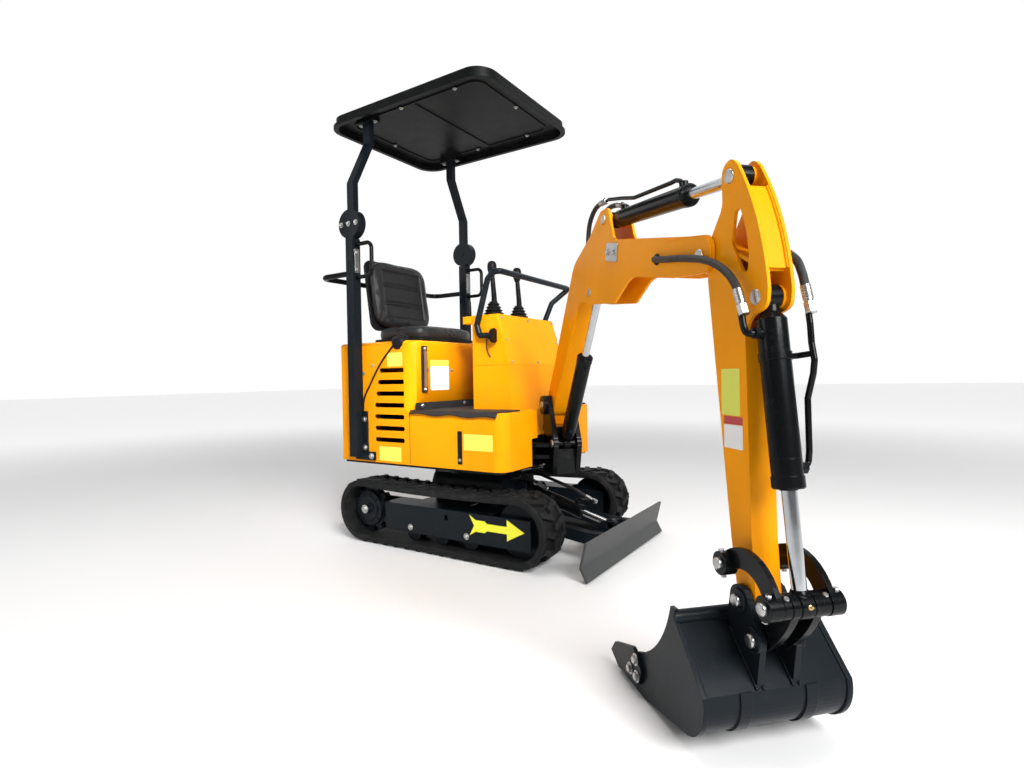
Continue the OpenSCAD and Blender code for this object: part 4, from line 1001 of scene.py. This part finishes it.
def house_bolts():
    """Screws of the hood, the console panel, the post feet and the fold discs."""
    spots = [(x, -HOUSE_SIDE, z) for x, z in ((-0.374, 0.885), (-0.437, 0.846))]
    bolts("hood_screws", "house", spots, -LEFT, 0.006, 0.005)
    spots = [(HOOD_FRONT, y, 0.855) for y in (-0.338, -0.150, 0.150)]
    bolts("front_screws", "house", spots, FORWARD, 0.006, 0.005)
    spots = [(d, y) for d in (0.018, 0.232) for y in (-0.235, 0.0, 0.235)]
    spots += [(0.125, y) for y in (-0.235, 0.235)]
    spots = [CONSOLE_SEAM + CONSOLE_RISE * d + LEFT * y for d, y in spots]
    bolts("console_screws", "house", spots, CONSOLE_OUT, 0.0055, 0.004)
    for side, name in SIDES:
        spots = [(x, side * 0.442, z) for x, z in ((-0.428, 0.616), (-0.428, 0.474), (-0.382, 0.434))]
        bolts("post_bolts_" + name, "house", spots, side * LEFT, 0.011, 0.009)
        spots = [(-0.470 + dx, side * 0.482, 1.592) for dx in (-0.052, 0.052, 0)]
        bolts("disc_bolts_" + name, "house", spots, side * LEFT, 0.009, 0.008)


def canopy_bolts():
    """Bright bolts below the canopy: along the border of its panel and at the ends of the post brackets."""
    spots = [(x, s * 0.323, 2.167) for x in (-0.25, 0.09) for s in (-1, 1)]
    spots += [(x, 0.0, 2.167) for x in (0.223, -0.605)]
    spots += [(x, s * 0.337, 2.140) for x in (-0.52, -0.42) for s in (-1, 1)]
    bolts("canopy_bolts", BODY_OF["canopy_roof"], spots, -UP, 0.0075, 0.006)


def fluted(place, axis, radius, height, flutes=14):
    """Cap with a fluted skirt and a domed top: radius * (1 + 0.04 cos(flutes * turn)) below, smooth above."""
    u, v = axes_about(axis)
    t = np.linspace(0, TURN, flutes * 10, endpoint=False)
    ring = np.cos(t)[:, None] * u + np.sin(t)[:, None] * v
    rows = ((0.0, 0.0, 0), (0.0, 0.96, 1), (0.06, 1.0, 1), (0.62, 0.98, 1), (0.74, 0.93, 0.4), (0.9, 0.8, 0),
            (1.0, 0.5, 0), (1.0, 0.0, 0))
    points = []
    for h, size, ripple in rows:
        r = radius * size * (1 + 0.04 * ripple * np.cos(flutes * t))
        points.append(np.asarray(place) + h * height * unit(axis) + r[:, None] * ring)
    return grid(np.array(points), wrap_columns=True)


def filler():
    """Fluted filler cap on the hood, and the cable from it down the side to the post's foot."""
    cover = fluted((-0.204, -0.399, 0.979), (0.1, -0.55, 0.8), 0.041, 0.050)
    cap = piece("filler_cap_cover", cover, PLASTIC, "house", sharp=50)
    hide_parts("filler_cap")
    down = ((-0.225, 0.978), (-0.250, 0.955), (-0.302, 0.905), (-0.352, 0.842), (-0.389, 0.788),
            (-0.432, 0.72), (-0.440, 0.66))
    route = [(-0.215, -0.430, 0.992)] + [(x, -0.4375, z) for x, z in down]
    piece("filler_cable", tube(smooth_path(route), 0.0045, 12), PLASTIC, "house")


def mat_edges():
    """Mat's free edge over each side of the step: a strip bent down by a droop that waves."""
    x = np.linspace(-0.124, 0.372, 70)[:, None]
    v = np.linspace(0, 1, 14)[None, :]
    droop = 0.013 + 0.010 * (x + 0.124) / 0.5 + 0.004 * np.sin(TURN * x / 0.19 + 0.6)
    y = 0.404 + 0.044 * v + 0 * x
    s = np.clip((y - 0.424) / 0.026, 0, 1)
    z = 0.6675 - droop * s * s * (3 - 2 * s)
    thick = 0.0072 - 0.001 * s
    for side, name in SIDES:
        top = np.stack([x + 0 * y, side * y, z], -1)
        low = np.stack([x + 0 * y, side * (y - 0.004 * s), z - thick], -1)
        loop = np.concatenate([top, low[:, ::-1]], axis=1)
        points, faces = grid(loop, wrap_columns=True)
        n = loop.shape[1]
        ends = [list(range(n)), list(range(len(points) - n, len(points)))]
        piece("mat_edge_" + name, (points, faces.tolist() + ends), MAT, "house", sharp=60)


def console_covers():
    """Thin sheet covers on the console: the sloping front above its seam and both upper sides."""
    sheet = 0.0018
    shapes = [plate(CONSOLE_SEAM + CONSOLE_RISE * 0.1265, LEFT, CONSOLE_RISE, 0.514, 0.243, 0.004, sheet)]
    outline = np.array([[0.124, 0.872], [0.326, 0.872], [0.262, 1.106], [0.124, 1.106]])
    for side in (-1, 1):
        shapes.append(prism(outline * [1, -side], side * CONSOLE_SIDE * LEFT, FORWARD, -side * UP, sheet))
    piece("console_covers", shapes, YELLOW, "house", bevel=0.0006)


def deck_trim():
    """Mat's raised rim along the hood with its bolts, and a dark strip of painted shade that stands for the
    seam before the rear housing.
    """
    rim = plate((-0.0998, 0, 0.684), LEFT, UP, 0.852, 0.033, 0.003, 0.006)
    piece("mat_rim", rim, MAT, "house", bevel=0.001)
    spots = [(-0.0938, y, 0.686) for y in (-0.382, -0.056, 0.056, 0.382)]
    bolts("mat_rim_bolts", "house", spots, FORWARD, 0.007, 0.005)
    for side, name in SIDES:
        # Painted shade: a thin black strip on each side stands for the shaded gap of the seam.
        seam_shade = plate((-0.1331, side * 0.4318, 0.533), FORWARD, -side * UP, 0.0026, 0.250, 0.0006, 0.0007)
        piece("painted_seam_shade_" + name, seam_shade, BOOT, "house")


def safety_bar():
    """Bent guard bar over the levers: up from a flange, forwards and across."""
    route = [(0.256, -0.284, 1.007), (0.180, -0.284, 1.012), (0.166, -0.284, 1.060), (0.230, -0.284, 1.268),
             (0.262, -0.284, 1.300), (0.292, -0.270, 1.302), (0.292, 0.405, 1.298), (0.225, 0.330, 1.215),
             (0.180, 0.284, 1.060), (0.186, 0.284, 1.012), (0.256, 0.284, 1.007)]
    bent = tube(round_path(route, 0.012), 0.014, 20)
    bar = piece("safety_bar_tube", bent, CHARCOAL, "house")
    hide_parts("safety_bar")
    disc = [[0, 0.034], [0.008, 0.034], [0.009, 0.033], [0.009, 0.018], [0.030, 0.017]]
    t = np.arange(4) * TURN / 4 + 0.8
    ring = np.stack([np.full(4, -0.009), 0.026 * np.cos(t), 0.026 * np.sin(t)], -1)
    shapes, screws = [], []
    for side in (-1, 1):
        place = np.array([0.262, side * 0.284, 1.007])
        shapes.append(lathe(place, -FORWARD, disc, 32))
        screws += [bolt(p, -FORWARD, 0.0055, 0.005, False) for p in place + ring]
    piece("safety_bar_flanges", shapes, BLACK, "house", sharp=35)
    piece("safety_bar_bolts", screws, ZINC, "house", sharp=30)


def handle_plates():
    """Bright clamp plate with two bolts at each grab handle's post."""
    for side, name in SIDES:
        middle = np.array([-0.4448, side * 0.457, 1.408])
        clamp = plate(middle, LEFT, UP, 0.030, 0.120, 0.004, 0.004)
        piece("handle_plate_" + name, clamp, ZINC, "house", bevel=0.001)
        spots = [middle + [0.004, 0, h] for h in (-0.042, 0.042)]
        bolts("handle_bolts_" + name, "house", spots, FORWARD, 0.008, 0.006)


# Arm and bucket fittings


def bucket_welds():
    """Beads in the corners between the bucket's back and its side plates, and along the feet of the ears."""
    tube_at, heel = BUCKET_PIN + [-58, -48], BUCKET_PIN + [-22, -190]
    t = np.radians(np.linspace(15, -82, 20))
    round_part = heel + 89 * np.stack([np.cos(t), np.sin(t)], -1)
    slope = round_part[0] - tube_at
    flat = BUCKET_PIN + [[-213, -313], [-355, -311]]
    back = np.vstack([tube_at + slope * 0.12, round_part, flat])
    foot = tube_at + slope * np.array([[0.2], [1.0]]) + [1, 1]
    shapes = []
    for side in (-1, 1):
        shapes.append(weld(at(back, side * 167.5)))
        shapes += [weld(at(foot, side * left), 0.0035) for left in (35, 51)]
    piece("bucket_welds", shapes, CHARCOAL, "bucket", sharp=80)


def bucket_bolts():
    """Cutter bolts, raised rings round the pivots, and the collars, screws and nipple on the rod's pin."""
    for side, name in NEAR_FAR:
        spots = at([[1337, 88], [1303, 50], [1345, 49]], side * 188)
        bolts("cutter_bolts_" + name, "bucket", spots, side * ACROSS, 0.0105)
    ring = [[0, 0.0155], [0, 0.027], [0.004, 0.027], [0.0055, 0.0255], [0.006, 0.0155], [0, 0.0155]]
    ends = [(at(pin, s * 50), s * ACROSS) for pin in (BUCKET_PIN, BUCKET_LINK_PIN) for s in (-1, 1)]
    rings = [lathe(place, way, ring, hollow=True) for place, way in ends]
    piece("bucket_ear_rings", rings, CHARCOAL, "bucket", sharp=35)
    collar = [[0, 0.013], [0, 0.0235], [0.0012, 0.025], [0.0168, 0.025], [0.018, 0.0235], [0.018, 0.013],
              [0, 0.013]]
    collars = [lathe(at(LINK_PIN, s * 34.5), s * ACROSS, collar, hollow=True) for s in (-1, 1)]
    piece("link_collars", collars, BLACK, "link", sharp=35)
    up, ahead = arm_axis(55), arm_axis(12)
    screws = [bolt(at(LINK_PIN, s * 44) + up * 0.0245, up, 0.006, 0.005, False) for s in (-1, 1)]
    piece("collar_screws", screws, ZINC, "link", sharp=30)
    nipple = [[0, 0.005], [0.003, 0.005], [0.004, 0.003], [0.008, 0.0028], [0.010, 0.0018]]
    piece("rod_eye_nipple", lathe(at(LINK_PIN) + ahead * 0.0265, ahead, nipple, 16), BRASS, "bucket_rod")
    keepers = []
    for s in (-1, 1):
        for pin, angle in ((ROCKER_PIN, 100), (LINK_PIN, 78)):
            for way in (arm_axis(angle), arm_axis(angle + 180)):
                keepers.append(bolt(at(pin, s * 76) + way * 0.0255, way, 0.0065, 0.0055, False))
    piece("rocker_keepers", keepers, ZINC, BODY_OF["rocker_links"], sharp=30)


def clamp_plate():
    """Bright clamp plate with two bolts on the boom's near side, below the stick cylinder's foot."""
    along = unit(OUT * 0.103 - UP * 0.024)
    middle = arm([860, -42, 1232])
    clamp = plate(middle, along, np.cross(-ACROSS, along), 0.100, 0.062, 0.008, 0.004)
    piece("boom_clamp", clamp, ZINC, "boom", bevel=0.001)
    spots = [middle - ACROSS * 0.004 + along * d for d in (-0.03, 0.03)]
    bolts("boom_clamp_bolts", "boom", spots, -ACROSS, 0.009)


def stick_welds():
    """Beads along both edges of the stick's front cover, on a circle through three points."""
    a, b, c = (STICK_PIN + p for p in ([135, 176], [205, 30], [236, -112]))
    u, v = b - a, c - a
    turn = 2 * (u[0] * v[1] - u[1] * v[0])
    centre = a + np.array([v[1] * (u @ u) - u[1] * (v @ v), u[0] * (v @ v) - v[0] * (u @ u)]) / turn
    r = np.linalg.norm(a - centre) - 5
    first, last = (np.arctan2(*(STICK_PIN + p - centre)[::-1]) for p in ([164, 122], [226, -68]))
    t = np.linspace(first, last, 40)
    arc = centre + r * np.stack([np.cos(t), np.sin(t)], -1)
    piece("stick_welds", [weld(at(arc, s * 23), 0.0032) for s in (-1, 1)], YELLOW, "stick", sharp=80)


# Undercarriage and blade fittings


def sprocket_fittings():
    """Hub nut and disc bolts of each sprocket."""
    t = np.arange(9) * TURN / 9
    for side, name in SIDES:
        out = side * LEFT
        hub = np.array([-WHEEL_X, side * 0.422, WHEEL_Z])
        bolts("hub_nut_" + name, "undercarriage", [hub], out, 0.015, 0.010)
        ring = hub + np.stack([0.074 * np.cos(t), np.full(9, -side * 0.026), 0.074 * np.sin(t)], -1)
        shapes = [bolt(p, out, 0.0065, 0.005, False) for p in ring]
        piece("sprocket_bolts_" + name, shapes, CHARCOAL, "undercarriage", sharp=30)


def blade_hoses():
    """Two hoses from under the house to the blade cylinder, each with its fitting and its pipe to a port."""
    axis = unit(BLADE_EYE - BLADE_FOOT)
    top = np.array([-axis[2], 0, axis[0]])
    for (side, name), reach in zip(NEAR_FAR, BLADE_PORTS):
        end = BLADE_FOOT + axis * (reach + 0.02) + top * 0.062 + side * 0.046 * LEFT
        start = [[0.205, side * 0.10, 0.318], [0.25, side * 0.085, 0.322]]
        path = smooth_path([*start, end - axis * 0.10 + top * 0.012, end], 10)
        hose = piece("blade_hose_" + name, tube(path, 0.008, 16), HOSE, None)
        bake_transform(hose)
        way = unit(path[-1] - path[-2])
        piece("blade_fitting_" + name, fitting(path[-1], way, 0.008), ZINC, "blade_barrel", sharp=30)
        tip = path[-1] + way * 0.036
        port = BLADE_FOOT + axis * reach + top * 0.036
        bend = [tip, tip + way * 0.014, port + top * 0.022 + axis * 0.02, port + top * 0.012, port]
        piece("blade_pipe_" + name, tube(smooth_path(bend, 6), 0.006, 12), BLACK, "blade_barrel")


def track_rims():
    """Moulded edge of each track: a rounded rim carried round the belt's outer face, on both edges."""
    radius, sag = 0.1375, 0.010
    low = np.stack([np.linspace(-WHEEL_X, WHEEL_X, 40), np.full(40, WHEEL_Z - radius)], -1)
    a = np.linspace(-np.pi / 2, np.pi / 2, 40)
    front = np.stack([WHEEL_X + radius * np.cos(a), WHEEL_Z + radius * np.sin(a)], -1)
    x = np.linspace(WHEEL_X, -WHEEL_X, 40)
    high = np.stack([x, WHEEL_Z + radius - sag * (1 - (x / WHEEL_X) ** 2)], -1)
    back = front[::-1] * [-1, 1]
    loop = np.vstack([run[:-1] for run in (low, front, high, back)])
    along = unit(np.roll(loop, -1, 0) - np.roll(loop, 1, 0))
    out = np.stack([along[:, 1], -along[:, 0]], -1)
    out *= np.sign(np.sum(out * (loop - [0.0, WHEEL_Z]), axis=1, keepdims=True))
    section = ((-0.012, 0.0), (0.010, 0.0), (0.0135, 0.004), (0.0135, 0.010), (0.009, 0.0145), (0.0, 0.0155),
               (-0.012, 0.0155))
    for side, name in SIDES:
        shapes = []
        for edge in (-1, 1):
            rows = []
            for lift, inset in section:
                y = side * TRACK_MIDDLE + edge * (TRACK_HALF - inset)
                rows.append(np.insert(loop + out * lift, 1, y, axis=1))
            shapes.append(grid(np.array(rows), wrap_rows=True, wrap_columns=True))
        piece("track_rim_" + name, shapes, TRACK, "undercarriage", sharp=60)


cylinders()
pin_heads()
rounded_copy("rear_housing_skin", "rear_housing", ((in_louver, 0.0105), (on_hood_top, 0.016)))
roller_bolts()
stick_hoses()
bucket_cylinder_lines()
stick_cylinder_lines()
levers()
films()
seat()
arrows()
level_gauge()
side_slot()
house_bolts()
bucket_welds()
bucket_bolts()
sprocket_fittings()
blade_hoses()
canopy_bolts()
clamp_plate()
filler()
mat_edges()
console_covers()
small_lever()
deck_trim()
track_rims()
stick_welds()
safety_bar()
handle_plates()
